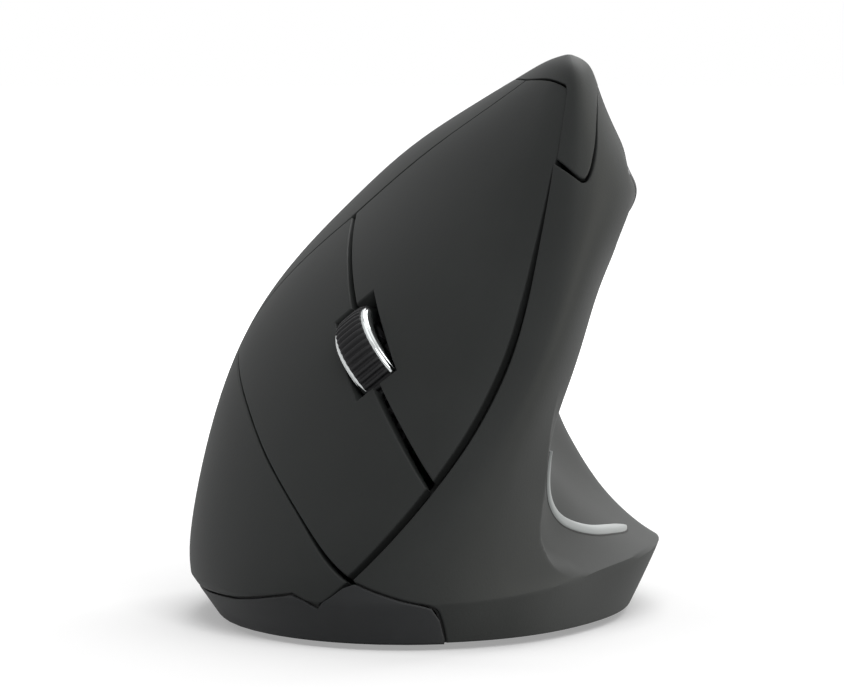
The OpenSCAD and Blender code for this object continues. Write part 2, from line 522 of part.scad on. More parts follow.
// Wheel carrier: a ring frame round the wheel that slides on two pins and presses a tact switch
carrier_low = wheel_z - 2.4;
carrier_top = wheel_z + axle_d/2 + 0.5;
carrier_l = wheel_d + 1.4;
pin_d = 2;
pin_room = 3.6;
pin_f = carrier_l/2 + carrier_t + pin_room/2;
board_top = -11.6;
tact_top = board_top + tact_h;
stem_top = tact_top + 0.8;
pad_z = stem_top + touch_gap;
tab_t = 1.6;
tact_f = carrier_l/2 + carrier_t + pin_room + tact_w/2;
module wheel_carrier() color("#26272a") in_frame(finger) difference() {
  union() {
    translate([-carrier_l/2 - carrier_t, -carrier_out, carrier_low])
      cube([carrier_l + 2*carrier_t, 2*carrier_out, carrier_top - carrier_low]);
    translate([-carrier_l/2 - carrier_t - pin_room, -pin_room/2, pad_z])
      cube([pin_room + 1, pin_room, tab_t]);
    translate([carrier_l/2, -pin_room/2, pad_z])
      cube([tact_f + stem_d/2 - carrier_l/2, pin_room, tab_t]);
  }
  translate([-carrier_l/2, -carrier_in, carrier_low - 1])
    cube([carrier_l, 2*carrier_in, wheel_d]);
  translate([0, 0, wheel_z]) rotate([90, 0, 0])
    cylinder(d = axle_d + 2*run_gap, h = 4*carrier_out, center = true);
  for (e = [-1, 1]) translate([e*pin_f, 0, board_top])
    cylinder(d = pin_d + 2*run_gap, h = wheel_d);
}

// Switches
module tact_body() translate([-tact_w/2, -tact_w/2, 0]) difference() {
  cube([tact_w, tact_w, tact_h]);
  translate([tact_w/2, tact_w/2, tact_h/2]) cylinder(d = stem_d + 2*run_gap, h = tact_h);
}
module tact_stem(reach) translate([0, 0, tact_h/2 + tact_travel + run_gap])
  cylinder(d = stem_d, h = tact_h/2 - tact_travel - run_gap + reach);
module micro_body() difference() {
  translate([-micro_l/2, -micro_w/2, 0]) cube([micro_l, micro_w, micro_h]);
  translate([0, 0, micro_h/2]) plunger_block(run_gap, micro_h);
}
plunger = [2.6, 3];
finger_travel = 0.5;
module plunger_block(g, h) translate([-plunger.x/2 - g, -plunger.y/2 - g, 0])
  cube([plunger.x + 2*g, plunger.y + 2*g, h]);

// Finger switches stand on the button board; their plungers reach up to the buttons
micro_f = -8.5;
micro_e = carrier_out + 0.6 + micro_w/2;
function under(f, e) = let (p = finger_uv(f, e), q = skin(p.x, p.y) - wall*normal(p.x, p.y))
  (q - finger[0])*finger[3];
function plunger_top(e) = min([for (a = [-1, 1]) for (b = [-1, 1])
  under(micro_f + a*plunger.x/2, e*micro_e + b*plunger.y/2)]) - touch_gap - 0.1;
module finger_switch(e) in_frame(finger) translate([micro_f, e*micro_e, board_top]) micro_body();
module finger_plunger(e) in_frame(finger)
  translate([micro_f, e*micro_e, board_top + micro_h/2 + finger_travel + run_gap])
    plunger_block(0, plunger_top(e) - board_top - micro_h/2 - finger_travel - run_gap);
module left_switch() color("#2a2a2c") finger_switch(-1);
module right_switch() color("#2a2a2c") finger_switch(1);
module left_plunger() color("#d8d4c8") finger_plunger(-1);
module right_plunger() color("#d8d4c8") finger_plunger(1);
module wheel_switch() color("#2a2a2c") in_frame(finger) translate([tact_f, 0, board_top])
  tact_body();
module wheel_stem() color("#c9b26a") in_frame(finger) translate([tact_f, 0, board_top])
  tact_stem(stem_top - tact_top);

// Light gate of the wheel: emitter and receiver on either side of the hub slots
gate = [4, 1.8];
gate_e = carrier_in + 0.2 + gate.y/2;
gate_eye = 1.4;
gate_z = [board_top - board_t - 1.2, wheel_z - hub_d*light_r];
module light_gate(e) in_frame(finger) translate([0, e*gate_e, 0]) difference() {
  translate([-gate.x/2, -gate.y/2, gate_z[0]]) cube([gate.x, gate.y, gate_z[1] + gate_eye - gate_z[0]]);
  translate([0, 0, gate_z[1]]) rotate([90, 0, 0]) cylinder(d = gate_eye, h = 2*gate.y, center = true);
}
module wheel_emitter() color("#e9e4da") light_gate(1);
module wheel_receiver() color("#121214") light_gate(-1);

// Button board and the frame plate below it, both pierced for the wheel
plate_f = [-15.5, tact_f + tact_w/2 + 0.6];
plate_e = micro_e + micro_w/2 + 0.4;
plate_t = 1.6;
pin_gap = 0.2;
gate_slot = [wheel_d + 1, 2*(gate_e + gate.y/2 + run_gap)];
module pierced_plate(z, t) difference() {
  translate([plate_f.x, -plate_e, z - t]) cube([plate_f.y - plate_f.x, 2*plate_e, t]);
  translate([-gate_slot.x/2, -gate_slot.y/2, z - 2*t - 5]) cube([gate_slot.x, gate_slot.y, 4*t + 8]);
}
module button_board() color("#1f5a3a") in_frame(finger) difference() {
  pierced_plate(board_top, board_t);
  for (e = [-1, 1]) translate([e*pin_f, 0, 0])
    cylinder(d = pin_d + 2*pin_gap, h = 4*wheel_d, center = true);
}

// Crest switch: under the crest button, on a small board square to the press direction
crest_push = unit([0, -0.5, 0.866]);
crest_point = [17.9, -26.2, 71.5];
crest_drop = 5;
crest = let (k = [body_w/drawn_size.x, body_l/drawn_size.y, body_h/75])
  [[for (i = [0:2]) crest_point[i]*k[i]], [1, 0, 0], cross(crest_push, [1, 0, 0]), crest_push];
crest_pad = 7.4;
module crest_switch() color("#2a2a2c") in_frame(crest) translate([0, 0, -crest_drop - tact_h])
  tact_body();
module crest_stem() color("#c9b26a") in_frame(crest) translate([0, 0, -crest_drop - tact_h])
  tact_stem(crest_drop);
module crest_board() color("#1f5a3a") in_frame(crest)
  translate([-crest_pad/2, -crest_pad/2, -crest_drop - tact_h - board_t])
    cube([crest_pad, crest_pad, board_t]);

// Side board behind the thumb buttons
function key_mid(k) = let (g = key_grid(k), p = g[key_steps.x/2][key_steps.y/2],
    q = skin(p.x, p.y) - bar[0]) [q*bar[1], q*bar[2]];
side_top = -key_depth - touch_gap - 1 - tact_h;
side_h = 6.6;
module at_key(k) let (m = key_mid(k)) in_frame(bar) translate([m.x, m.y, side_top]) children();
module forward_switch() color("#2a2a2c") at_key(0) tact_body();
module back_switch() color("#2a2a2c") at_key(1) tact_body();
module forward_stem() color("#c9b26a") at_key(0) tact_stem(1);
module back_stem() color("#c9b26a") at_key(1) tact_stem(1);
module side_board() color("#1f5a3a") let (a = key_mid(0), b = key_mid(1)) in_frame(bar)
  translate([a.x - tact_w/2 - 0.5, (a.y + b.y)/2 - side_h/2, side_top - board_t])
    cube([b.x - a.x + tact_w + 1, side_h, board_t]);

// Inner frame: plate under the button board, arm and mast to the upper boards, four legs
base_z = foot_h;
floor_z = base_z + floor_t;
plate_z = board_top - board_t;
LEGS = [[-11, -6.2], [-13, 10.6], [13, 10.6], [13, -10.6]];
leg_xy = [for (l = LEGS) let (p = from_frame(finger, [l.x, l.y, plate_z - plate_t])) [p.x, p.y]];
pin_over = 0.8;
mast_t = 2;
mast_w = 12;
mast_foot = 3.5;
arm_f = [8, 17];
module below(f, z) intersection() {
  children();
  in_frame(f) translate([-body_l, -body_l, z - 2*body_l]) cube(2*body_l);
}
module inner_frame() color("#3c3d40") {
  difference() {
    union() {
      in_frame(finger) pierced_plate(plate_z, plate_t);
      in_frame(finger) for (e = [-1, 1]) translate([e*pin_f, 0, plate_z - plate_t])
        cylinder(d = pin_d, h = pad_z + tab_t + pin_over - plate_z + plate_t);
      below(finger, plate_z - plate_t/2) for (p = leg_xy) translate([p.x, p.y, floor_z])
        cylinder(d = leg_d, h = body_h);
    }
    for (p = leg_xy) translate([p.x, p.y, 0])
      cylinder(d = screw_d + 2*run_gap, h = floor_z + screw_l);
  }
  frame_mast();
}
module frame_mast() {
  back = side_top - board_t;
  root = from_frame(finger, [(arm_f.x + arm_f.y)/2, 0, plate_z - plate_t/2]);
  arm_end = (bar[0].x + back - mast_t/2 - root.x)/finger[2].x;
  foot = from_frame(finger, [arm_f.x, arm_end + mast_foot, plate_z]);
  in_frame(finger) translate([arm_f.x, arm_end, plate_z - plate_t])
    cube([arm_f.y - arm_f.x, 1 - plate_e - arm_end, plate_t]);
  below(crest, -crest_drop - tact_h - board_t) in_frame(bar)
    translate([-mast_w, foot.z - bar[0].z, back - mast_t]) cube([mast_w, body_h/2, mast_t]);
}
screw_l = 6;

// Main board with the motion sensor over its window, and the radio chip. The sensor stands behind the
// frame's last leg, and the board runs from in front of that leg to the end of the lens.
board_z = floor_z + board_lift;
sensor_size = [10, 12, 3];
lens_size = [12, 14];
leg_room = 0.4;
hole_room = 0.6;
rear_leg = leg_xy[3];
sensor_at = [rear_leg.x - 5.5, rear_leg.y + leg_d/2 + leg_room + lens_size.y/2];
main_x = [rear_leg.x - 23.7, rear_leg.x + 2.3];
main_y = [rear_leg.y - 11.7, sensor_at.y + lens_size.y/2 - leg_room];
window_d = 6;
module main_board() color("#1f5a3a") difference() {
  translate([main_x[0], main_y[0], board_z])
    cube([main_x[1] - main_x[0], main_y[1] - main_y[0], board_t]);
  for (p = leg_xy) translate([p.x, p.y, board_z - 1]) cylinder(d = leg_d + hole_room, h = board_t + 2);
  translate([sensor_at.x, sensor_at.y, board_z - 1]) cylinder(d = window_d, h = board_t + 2);
}
module motion_sensor() color("#17181a") translate([sensor_at.x - sensor_size.x/2,
    sensor_at.y - sensor_size.y/2, board_z + board_t]) cube(sensor_size);
module sensor_lens() color("#cfd8dc") translate([sensor_at.x, sensor_at.y, 0]) {
  translate([-lens_size.x/2, -lens_size.y/2, floor_z]) cube([lens_size.x, lens_size.y, board_lift]);
  translate([0, 0, floor_z - 1]) cylinder(d = window_d - hole_room, h = 2);
}
chip_at = [main_x[0] + 5, main_y[0] + 2.5];
chip_size = [6, 6, 1.2];
module radio_chip() color("#17181a") translate([chip_at.x, chip_at.y, board_z + board_t])
  cube(chip_size);

// Power slider in the base floor, under its switch on the main board
slider_at = [rear_leg.x - 9.7, rear_leg.y - 6.2];
slider_knob = [4, 3];
slider_t = 1;
slider_gap = 0.3;
switch_size = [6, 8.8];
module power_switch() color("#8d9196")
  translate([slider_at.x - switch_size.x/2, slider_at.y - switch_size.y/2, floor_z + slider_t + slider_gap])
    cube([switch_size.x, switch_size.y, board_lift - slider_t - slider_gap]);
module power_slider() color("#c9ccce") translate([slider_at.x, slider_at.y - slider_travel/2, 0]) {
  translate([-slider_knob.x/2 - 1, -slider_knob.y/2 - 1, floor_z + run_gap])
    cube([slider_knob.x + 2, slider_knob.y + 2, slider_t]);
  translate([-slider_knob.x/2, -slider_knob.y/2, base_z + slider_gap])
    cube([slider_knob.x, slider_knob.y, floor_t]);
}

// Battery bay: two cells side by side along Y, nubs to the nose, springs at the tail end
bay_x = 1;
bay_room = 1.25;
cell_gap = 0.4;
door_lift = 0.3;
cell_z = base_z + door_t + door_lift + cell_d/2;
bay_l = cell_l + 2*contact_room;
bay_y = main_y[1] + bay_room + bay_t + bay_l/2;
bay_w = 2*cell_d + cell_gap + 1.2;
nub_d = 3.6;
nub_l = 0.8;
module each_cell() for (e = [-1, 1]) translate([bay_x + e*(cell_d + cell_gap)/2, bay_y, cell_z])
  rotate([90, 0, 0]) children();
module battery_cells() color("#8a8f94") each_cell() {
  cylinder(d = cell_d, h = cell_l, center = true);
  cylinder(d = nub_d, h = cell_l/2 + nub_l);
}
contact_t = 0.4;
contact_w = cell_d - 1.2;
module battery_contacts() color("#c9b26a") each_cell() for (e = [-1, 1])
  translate([0, 0, e*(bay_l - contact_t)/2]) cube([contact_w, contact_w, contact_t], center = true);
// Coil of round wire in a cone from radius r0 to r1
wire_d = 0.45;
coil_r = [3.4, 2.2];
coil_turns = 1.75;
coil_steps = 42;
wire_steps = 6;
module battery_springs() color("#d6d8da") each_cell() translate([0, 0, contact_t - bay_l/2 + wire_d/2]) {
  rise = contact_room - contact_t - wire_d - 0.05;
  ring_at = function (i) let (t = i/coil_steps, r = coil_r[0] + (coil_r[1] - coil_r[0])*t)
    [for (k = [0:wire_steps - 1]) let (q = r + wire_d/2*cos(360*k/wire_steps), a = 360*coil_turns*t)
      [q*cos(a), q*sin(a), rise*t + wire_d/2*sin(360*k/wire_steps)]];
  sides = [for (i = [0:coil_steps - 1]) for (k = [0:wire_steps - 1])
    let (a = i*wire_steps + k, b = i*wire_steps + (k + 1) % wire_steps)
      each [[a, b, b + wire_steps], [a, b + wire_steps, a + wire_steps]]];
  polyhedron([for (i = [0:coil_steps]) each ring_at(i)],
    concat(sides, [[for (k = [wire_steps - 1:-1:0]) k],
      [for (k = [0:wire_steps - 1]) coil_steps*wire_steps + k]]), convexity = 6);
}
door_w = bay_w + 1.2;
door_l = bay_l + 1;
door_gap = 0.3;
// Finger grooves of the door: count, pitch, width, length and depth
grooves = 4;
groove = [1.6, 0.7, 10, 0.5];
module battery_door() color("#232425") translate([bay_x, bay_y, base_z]) difference() {
  translate([-door_w/2, -door_l/2, 0]) cube([door_w, door_l, door_t]);
  for (k = [1:grooves]) translate([-groove[2]/2, door_l/2 - 2 - k*groove[0], -1])
    cube([groove[2], groove[1], 1 + groove[3]]);
}

// Base: floor, rim under the palm cover, screw bosses, and openings for sensor, slider and cells
function rim_borders() = let (
    nose = concat([nudge(NOSE_EDGE[0], side_out, seam/2)],
      nudged([for (i = [1:5]) NOSE_EDGE[i]], [0.02, -0.17], seam/2)),
    tail = nudge(nudge(PALM_EDGE[9], up, -seam/2), side_out, -seam/2),
    palm = concat(nudged([for (i = [0:8]) PALM_EDGE[i]], up, -seam/2), [tail]),
    front = [nudge(PALM_FRONT[2], side_out, -seam/2) + [0, -0.12],
      nudge(PALM_FRONT[1], side_out, -seam/2) + [0, -0.05]],
    top = concat(nose, front, palm),
    low = straight([nose[0].x, 0], [tail.x, 0], rim_points))
  [run(low, 0, 1), run(top, 0, 1), run([low[0], top[0]], 0, 1), run([low[rim_points], tail], 0, 1)];
RIM_STEPS = [1, 1, 1, 1, 1, 1, 1, 1, 1, 1, 1, 1, 1, 2, 4, 4, 6];
floor_steps = 64;
// Floor outline, set inside the thumb cover's wall and into the rim
function floor_edge(k) = let (u = 4*k/floor_steps, p = skin(u, 0), q = skin(u + 0.01, 0),
    t = unit([q.x - p.x, q.y - p.y]), inset = u < 2 ? 0.6 : wall + seam)
  [p.x + t.y*inset, p.y - t.x*inset];
// Posts under three corners of the main board
post_d = 2.4;
post_in = 1.6;
POSTS = [for (k = [[0, 0], [0, 1], [1, 0]]) [main_x[k[0]] + post_in*(1 - 2*k[0]),
  main_y[k[1]] + post_in*(1 - 2*k[1])]];
bay_h = 9;
module bay_walls() translate([bay_x, bay_y, base_z + door_t + door_lift]) difference() {
  translate([-bay_w/2 - bay_t, -bay_l/2 - bay_t, 0]) cube([bay_w + 2*bay_t, bay_l + 2*bay_t, bay_h]);
  translate([-bay_w/2, -bay_l/2, -1]) cube([bay_w, bay_l, bay_h + 2]);
}
module base_case() color("#222324") {
  b = rim_borders();
  g = patch(b, stops(params(b[1]), RIM_STEPS), [0, 0.5, 1]);
  difference() {
    union() {
      translate([0, 0, base_z]) linear_extrude(floor_t)
        polygon([for (k = [0:floor_steps - 1]) floor_edge(k)]);
      shell(lifted(g, 0), lined(g, wall));
      for (p = POSTS) translate([p.x, p.y, floor_z - 1]) cylinder(d = post_d, h = board_lift + 1, $fn = 24);
    }
    for (p = leg_xy) translate([p.x, p.y, base_z - 1]) {
      cylinder(d = screw_d + hole_room, h = floor_t + 2);
      cylinder(d = screw_head_d + 0.4, h = 1 + head_in);
    }
    translate([sensor_at.x, sensor_at.y, base_z - 1]) cylinder(d = window_d, h = floor_t + 2);
    translate([slider_at.x - slider_knob.x/2 - slider_gap,
      slider_at.y - slider_knob.y/2 - slider_travel/2 - slider_gap, base_z - 1])
      cube([slider_knob.x + 2*slider_gap, slider_knob.y + slider_travel + 2*slider_gap, floor_t + 2]);
    translate([bay_x - door_w/2 - door_gap, bay_y - door_l/2 - door_gap, base_z - 1])
      cube([door_w + 2*door_gap, door_l + 2*door_gap, floor_t + 2]);
  }
  bay_walls();
}
head_in = 1;
head_t = 0.8;
// Cross recess in the screw heads: length, width and depth
recess = [2.4, 0.6, 0.5];
module case_screws() color("#9a9da0") for (p = leg_xy) translate([p.x, p.y, base_z + head_in - head_t]) {
  difference() {
    cylinder(d = screw_head_d, h = head_t);
    for (a = [0, 90]) rotate(a) cube([recess.x, recess.y, 2*recess.z], center = true);
  }
  translate([0, 0, recess.z + 0.1]) cylinder(d = screw_d, h = floor_t + screw_l - 1 - recess.z - 0.1);
}

// Glide feet: four slips with round ends; each row is centre x, y, length and turn
FEET = [[-5, -42.5, 18, 0], [-23, -8, 16, 90], [22, 6, 16, 90], [3, 51.5, 10, 0]];
module glide_feet() color("#2a2a2b") for (f = FEET)
  translate([f[0]*body_w/drawn_size.x, f[1]*body_l/drawn_size.y, 0]) rotate(f[3])
    linear_extrude(foot_h) {
      square([f[2] - foot_w, foot_w], center = true);
      for (e = [-1, 1]) translate([e*(f[2] - foot_w)/2, 0]) circle(d = foot_w);
    }

base_case();
palm_cover();
thumb_cover();
trim_strip();
left_button();
right_button();
crest_button();
forward_button();
back_button();
wheel_hub();
wheel_tyre();
wheel_rims();
wheel_carrier();
inner_frame();
main_board();
button_board();
side_board();
crest_board();
left_switch();
left_plunger();
right_switch();
right_plunger();
wheel_switch();
wheel_stem();
crest_switch();
crest_stem();
forward_switch();
forward_stem();
back_switch();
back_stem();
wheel_emitter();
wheel_receiver();
motion_sensor();
sensor_lens();
radio_chip();
power_switch();
power_slider();
battery_cells();
battery_contacts();
battery_springs();
battery_door();
glide_feet();
case_screws();
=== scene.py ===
"""Looks of an upright computer mouse, built round its CAD frame.

Lengths inside the shape functions are millimetres; meshes are written in metres. The nose points to
-Y, the thumb side to +X, the palm side to -X, and the desk is at z = 0.
"""

import math

import bmesh
import bpy
import numpy as np
from bpy.props import FloatProperty, FloatVectorProperty, IntProperty, PointerProperty
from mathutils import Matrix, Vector


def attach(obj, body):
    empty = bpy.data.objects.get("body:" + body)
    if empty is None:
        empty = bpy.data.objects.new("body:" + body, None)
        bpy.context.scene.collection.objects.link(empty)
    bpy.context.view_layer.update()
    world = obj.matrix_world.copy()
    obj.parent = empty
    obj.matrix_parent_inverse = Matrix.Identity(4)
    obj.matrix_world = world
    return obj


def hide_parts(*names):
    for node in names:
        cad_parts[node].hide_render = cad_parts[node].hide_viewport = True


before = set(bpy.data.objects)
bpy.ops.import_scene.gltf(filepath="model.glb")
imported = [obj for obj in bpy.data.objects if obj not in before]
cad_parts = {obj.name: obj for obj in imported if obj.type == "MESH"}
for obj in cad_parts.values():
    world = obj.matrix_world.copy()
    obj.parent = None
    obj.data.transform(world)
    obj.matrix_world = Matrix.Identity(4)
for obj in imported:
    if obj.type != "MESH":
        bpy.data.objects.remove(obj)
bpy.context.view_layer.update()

bl_info = {
    "name": "Upright mouse looks",
    "version": (1, 0, 0),
    "blender": (4, 5, 0),
    "location": "View3D > Sidebar > Mouse",
    "description": "Moulded covers, buttons, wheel, trim and studio for an upright computer mouse",
    "category": "Object",
}

MM = 0.001

# Sections of the body from the underside to the crest. Each row: height, extra lift at the thumb
# ledge, x and y of the palm, nose, thumb and tail points, then how full the curve is at the nose
# (palm side, thumb side) and at the thumb.
SECTIONS = np.array([
    [0, 0, -27.6, -8, -3, -58, 27.5, 4, 3, 57, 0.5, 0.55, 0.52],
    [5.2, 3, -31.4, -8, -2, -60, 32, 4, 3, 60, 0.45, 0.48, 0.48],
    [8.2, 1.6, -31.8, -7, -1, -60, 29, 5, 3, 59.8, 0.4, 0.48, 0.48],
    [15.2, 0.5, -30.9, -5, 3, -59.2, 22, 10, 2, 57.5, 0.3, 0.52, 0.56],
    [26.2, 0, -28.2, 0, 10, -56.5, 17.4, 0, 0, 51.5, 0.25, 0.6, 0.68],
    [38.2, 0, -23.2, 6, 15.5, -52.5, 20.8, -14, -3, 42, 0.22, 0.62, 0.7],
    [48.2, 0, -15.7, 12, 18.2, -48, 24.6, -14, -4.4, 31.5, 0.22, 0.62, 0.7],
    [56.2, 0, -6.9, 12, 19.4, -44, 29.3, -14, -3, 22, 0.22, 0.62, 0.7],
    [63.2, 0, 2, 5, 19.6, -40, 25.2, -16, 4, 11, 0.22, 0.62, 0.7],
    [69.2, 0, 10.4, -6, 19.6, -36, 22.6, -19, 11.4, -2, 0.24, 0.62, 0.7],
    [73.2, 0, 15.3, -16, 19.2, -32, 21.6, -22, 16, -13, 0.3, 0.6, 0.65],
    [74.2, 0, 18.6, -24, 18.6, -24, 18.6, -24, 18.6, -24, 0.3, 0.6, 0.65]])
LAST = len(SECTIONS) - 1
FOOT = 0.8
FOOT_V = 0.02
PALM_FULL, TAIL_FULL, THUMB_FULL = (0.6, 0.55), 0.55, 0.6
# Presses into the thumb side, or out of it below zero: depth, y, half width in y, z, half width in z.
# They come in from x = PRESS_FROM on.
PRESSES = ((3.8, -12, 22, 25, 14), (2.4, -34, 13, 11, 8), (-1.15, -38, 12, 33, 9),
           (-1.1, 17, 12, 19, 8))
PRESS_FROM, PRESS_FADE = 4, 14
# Swells of the palm side: how far, height, half height, and the u where each begins, clear of the wheel
SWELLS = ((1.65, 62.5, 8, 0.4), (0.7, 38, 16, 0.66))
SWELL_TOP, SWELL_FADE = 73.5, 5

# Border lines of the mouldings as points (u, v) on the body
GAP = np.array([[0.232, 1.83], [0.19, 2.6], [0.15, 3.4], [0.128, 4.05], [0.126, 4.7],
                [0.142, 5.5], [0.16, 6.45], [0.175, 7.55]])
LOWER = np.array([[0.232, 1.83], [0.454, 2.88], [0.656, 3.67], [0.788, 4.17], [0.916, 4.56], [1, 4.68]])
BEND_R = np.array([[1, 4.68], [0.925, 5.5], [0.84, 6.45]])
BEND_L = np.array([[0.84, 6.45], [0.77, 8], [0.72, 9.42]])
CREST_FRONT = np.array([[0.162, 7.68], [0.166, 8.4], [0.172, 9.1]])
CREST_LEFT = np.array([[0.19, 9.28], [0.3, 9.38], [0.48, 9.46], [0.72, 9.42]])
CREST_REAR = np.array([[0.72, 9.42], [1, 9.4], [1.5, 9.3], [2, 9.2]])
CREST_RIGHT = np.array([[0.15, 7.64], [0, 7.34], [-0.05, 7.29], [-0.1, 7.4], [-0.2, 7.87],
                        [-0.35, 8.5], [-0.6, 9], [-1, 9.25], [-1.5, 9.25], [-2, 9.2]])
NOSE_EDGE = np.array([[-0.11, 0.1], [-0.085, 0.6], [-0.058, 0.91], [0.028, 1.16], [0.12, 1.47],
                      [0.2, 1.75]])
NOSE_TOP = np.array([0.209, 1.81])
PALM_FRONT = np.array([[0.294, 0.83], [0.262, 1.25], [0.236, 1.7]])
PALM_EDGE = np.array([[0.294, 0.83], [0.334, 0.98], [0.385, 1.22], [0.436, 1.05], [0.524, 0.9],
                      [0.614, 0.8], [0.8, 0.74], [1.15, 0.74], [1.5, 0.74], [2, 0.74]])
STRIP = np.array([[-0.575, 3.7], [-0.582, 3.4], [-0.598, 3.01], [-0.636, 2.61], [-0.712, 2.31],
                  [-0.802, 2.16], [-0.896, 2.02]])
# Ridge where the front turns into the thumb scoop, its height, and its reach to the front and the scoop
RIDGE = np.array([[-0.503, 0.976], [-0.459, 1.348], [-0.417, 1.79], [-0.399, 2.19], [-0.389, 2.521],
                  [-0.397, 2.783], [-0.415, 3.079], [-0.423, 3.279], [-0.426, 3.597], [-0.42, 3.9],
                  [-0.39, 4.6]])
RIDGE_HIGH, RIDGE_FRONT, RIDGE_SCOOP = 1.0, 9, 4
# Depth of the hollows above and below the thumb bar's corner, and the v and half width of each
HOLLOW, HOLLOWS = 0.65, ((7.45, 0.3), (6.5, 0.33))
# Width of the front gap at the points of GAP, as a share between its top and its widest
GAP_SHARE = np.array([0.75, 0.96, 1, 1, 0.95, 0.72, 0.4, 0])
# Corners along the palm cover's upper border, and the thumb keys' windows, as shares of the covers
PALM_STOPS = (0, 0.36, 0.5, 0.66, 1)
KEY_S, KEY_T = (0.5, 0.612, 0.628, 0.735), (0.7, 0.8)
KEY_PLAY, KEY_WALL, KEY_PROUD = 0.42, 2.6, 0.05
# u on the ring round the crest's top for points of the crest's border, and the ring's v below the top
RING = np.array([[0, -2], [8, -1.2], [16, -0.65], [22, -0.4], [32, -0.08], [38, 0.17], [50, 0.75],
                 [62, 2]])
RING_BELOW, CREST_WALL = 0.6, 1.4
SIDE, UP = np.array([1.0, 0.0]), np.array([0.0, 1.0])
SLIT_ENDS = (-27, 34.2)
WHEEL_UV, SLIT_HEADING = np.array([0.514, 4.909]), np.array([0.18, 1.0])
# How far the wheel stands out, the play round it, and how far the slot's square grid goes on beside it
WHEEL_OUT, SLOT_PLAY, SLOT_STRIP = 3, 0.5, 2.6
TRIM_HALF, TRIM_CROWN, TRIM_CAP = 0.95, 0.5, 0.88
# Distances from an edge, in mm, at which the mesh has a line, so that the edge can be rounded
NEAR_EDGE = np.array([0, 0.04, 0.1, 0.18, 0.28, 0.42, 0.7, 1.1, 1.7, 2.5])
# Camera of the photograph: degrees above level, distance and aim in metres, sensor width in mm, and
# focal length and picture width in pixels
CAMERA_RISE, CAMERA_FAR, CAMERA_AIM = 3.2, 0.9, Vector((-0.0006, -0.02, 0.0362))
SENSOR, FOCAL_PX, PHOTO_PX = 36, 6840, 844
LAMP_AIM = Vector((0, 0, 0.035))


# ---- The body's surface ----

def row_at(v):
    """Section row at parameter v: a straight line from row 0 to row 1, then a cubic B-spline."""
    v = np.asarray(v, float)
    ext = np.vstack([2*SECTIONS[1] - SECTIONS[2], SECTIONS[1:], 2*SECTIONS[-1] - SECTIONS[-2]])
    w = np.clip(v - 1, 0, LAST - 1 - 1e-6)
    i = np.floor(w).astype(int)
    f = (w - i)[..., None]
    spline = ((1 - f)**3*ext[i] + (3*f**3 - 6*f**2 + 4)*ext[i + 1]
              + (-3*f**3 + 3*f**2 + 3*f + 1)*ext[i + 2] + f**3*ext[i + 3])/6
    chamfer = SECTIONS[0] + (SECTIONS[1] - SECTIONS[0])*np.clip(v, 0, 1)[..., None]
    return np.where((v < 1)[..., None], chamfer, spline)


def bezier(a, b, c, d, t):
    """Cubic Bezier value at t: the four numbers weighted by the cubic Bernstein terms."""
    return (1 - t)**3*a + 3*(1 - t)**2*t*b + 3*(1 - t)*t*t*c + t**3*d


def smooth(t):
    """Three t squared minus two t cubed, with t held between 0 and 1."""
    t = np.clip(t, 0, 1)
    return t*t*(3 - 2*t)


def body(u, v):
    """Body point: u runs once round in four Bezier quarters (0 nose, 1 palm, 2 tail, 3 thumb) of the
    section at v, Gaussian presses move the thumb side in or out, and Gaussian swells move the palm
    side out."""
    u, v = np.broadcast_arrays(np.asarray(u, float), np.asarray(v, float))
    z, lift, px, py, nx, ny, tx, ty, bx, by, fl, fr, rf = np.moveaxis(row_at(v), -1, 0)
    u = np.mod(u, 4)
    q = np.clip(np.floor(u).astype(int), 0, 3)
    t = u - q
    x = np.choose(q, [bezier(nx, nx + fl*(px - nx), px, px, t),
                      bezier(px, px, bx + TAIL_FULL*(px - bx), bx, t),
                      bezier(bx, bx + TAIL_FULL*(tx - bx), tx, tx, t),
                      bezier(tx, tx, nx + fr*(tx - nx), nx, t)])
    y = np.choose(q, [bezier(ny, ny, py + PALM_FULL[0]*(ny - py), py, t),
                      bezier(py, py + PALM_FULL[1]*(by - py), by, by, t),
                      bezier(by, by, ty + THUMB_FULL*(by - ty), ty, t),
                      bezier(ty, ty + rf*(ny - ty), ny, ny, t)])
    z = z + lift*smooth(1 - np.abs(u - 3))
    side = smooth((x - PRESS_FROM)/PRESS_FADE)
    dent = sum(d*np.exp(-((y - y0)/wy)**2 - ((z - z0)/wz)**2) for d, y0, wy, z0, wz in PRESSES)
    palm = smooth((2 - u)/0.8)*smooth((SWELL_TOP - z)/SWELL_FADE)
    bulge = sum(d*smooth((u - u0)/(1 - u0))*np.exp(-((z - z0)/wz)**2) for d, z0, wz, u0 in SWELLS)
    return np.stack([x - side*dent - palm*bulge, y, z + FOOT], -1)


def at_uv(p):
    """Body point of an array whose last axis is (u, v)."""
    p = np.asarray(p, float)
    return body(p[..., 0], p[..., 1])


def unit(a):
    """Vectors of length one along the last axis."""
    return a/np.linalg.norm(a, axis=-1, keepdims=True)


def normals(p, h=0.003):
    """Outward normals: the cross product of the surface's steps along v and along u."""
    p = np.asarray(p, float)
    along_v = at_uv(p + h*UP) - at_uv(p - h*UP)
    along_u = at_uv(p + h*SIDE) - at_uv(p - h*SIDE)
    return unit(np.cross(along_v, along_u))


def inward(p):
    """Direction of the walls: level at the foot chamfer, along the normal higher up."""
    n = -normals(p)
    n[..., 2] *= smooth((np.asarray(p)[..., 1] - 1)/0.8)
    return unit(n)


# ---- Lines on the body ----

def nudge(p, d, g, h=0.001):
    """Moves points (u, v) by g millimetres along direction d of the surface coordinates."""
    p, d = np.asarray(p, float), np.asarray(d, float)
    return p + d*np.asarray(g*h/np.linalg.norm(at_uv(p + h*d) - at_uv(p), axis=-1))[..., None]


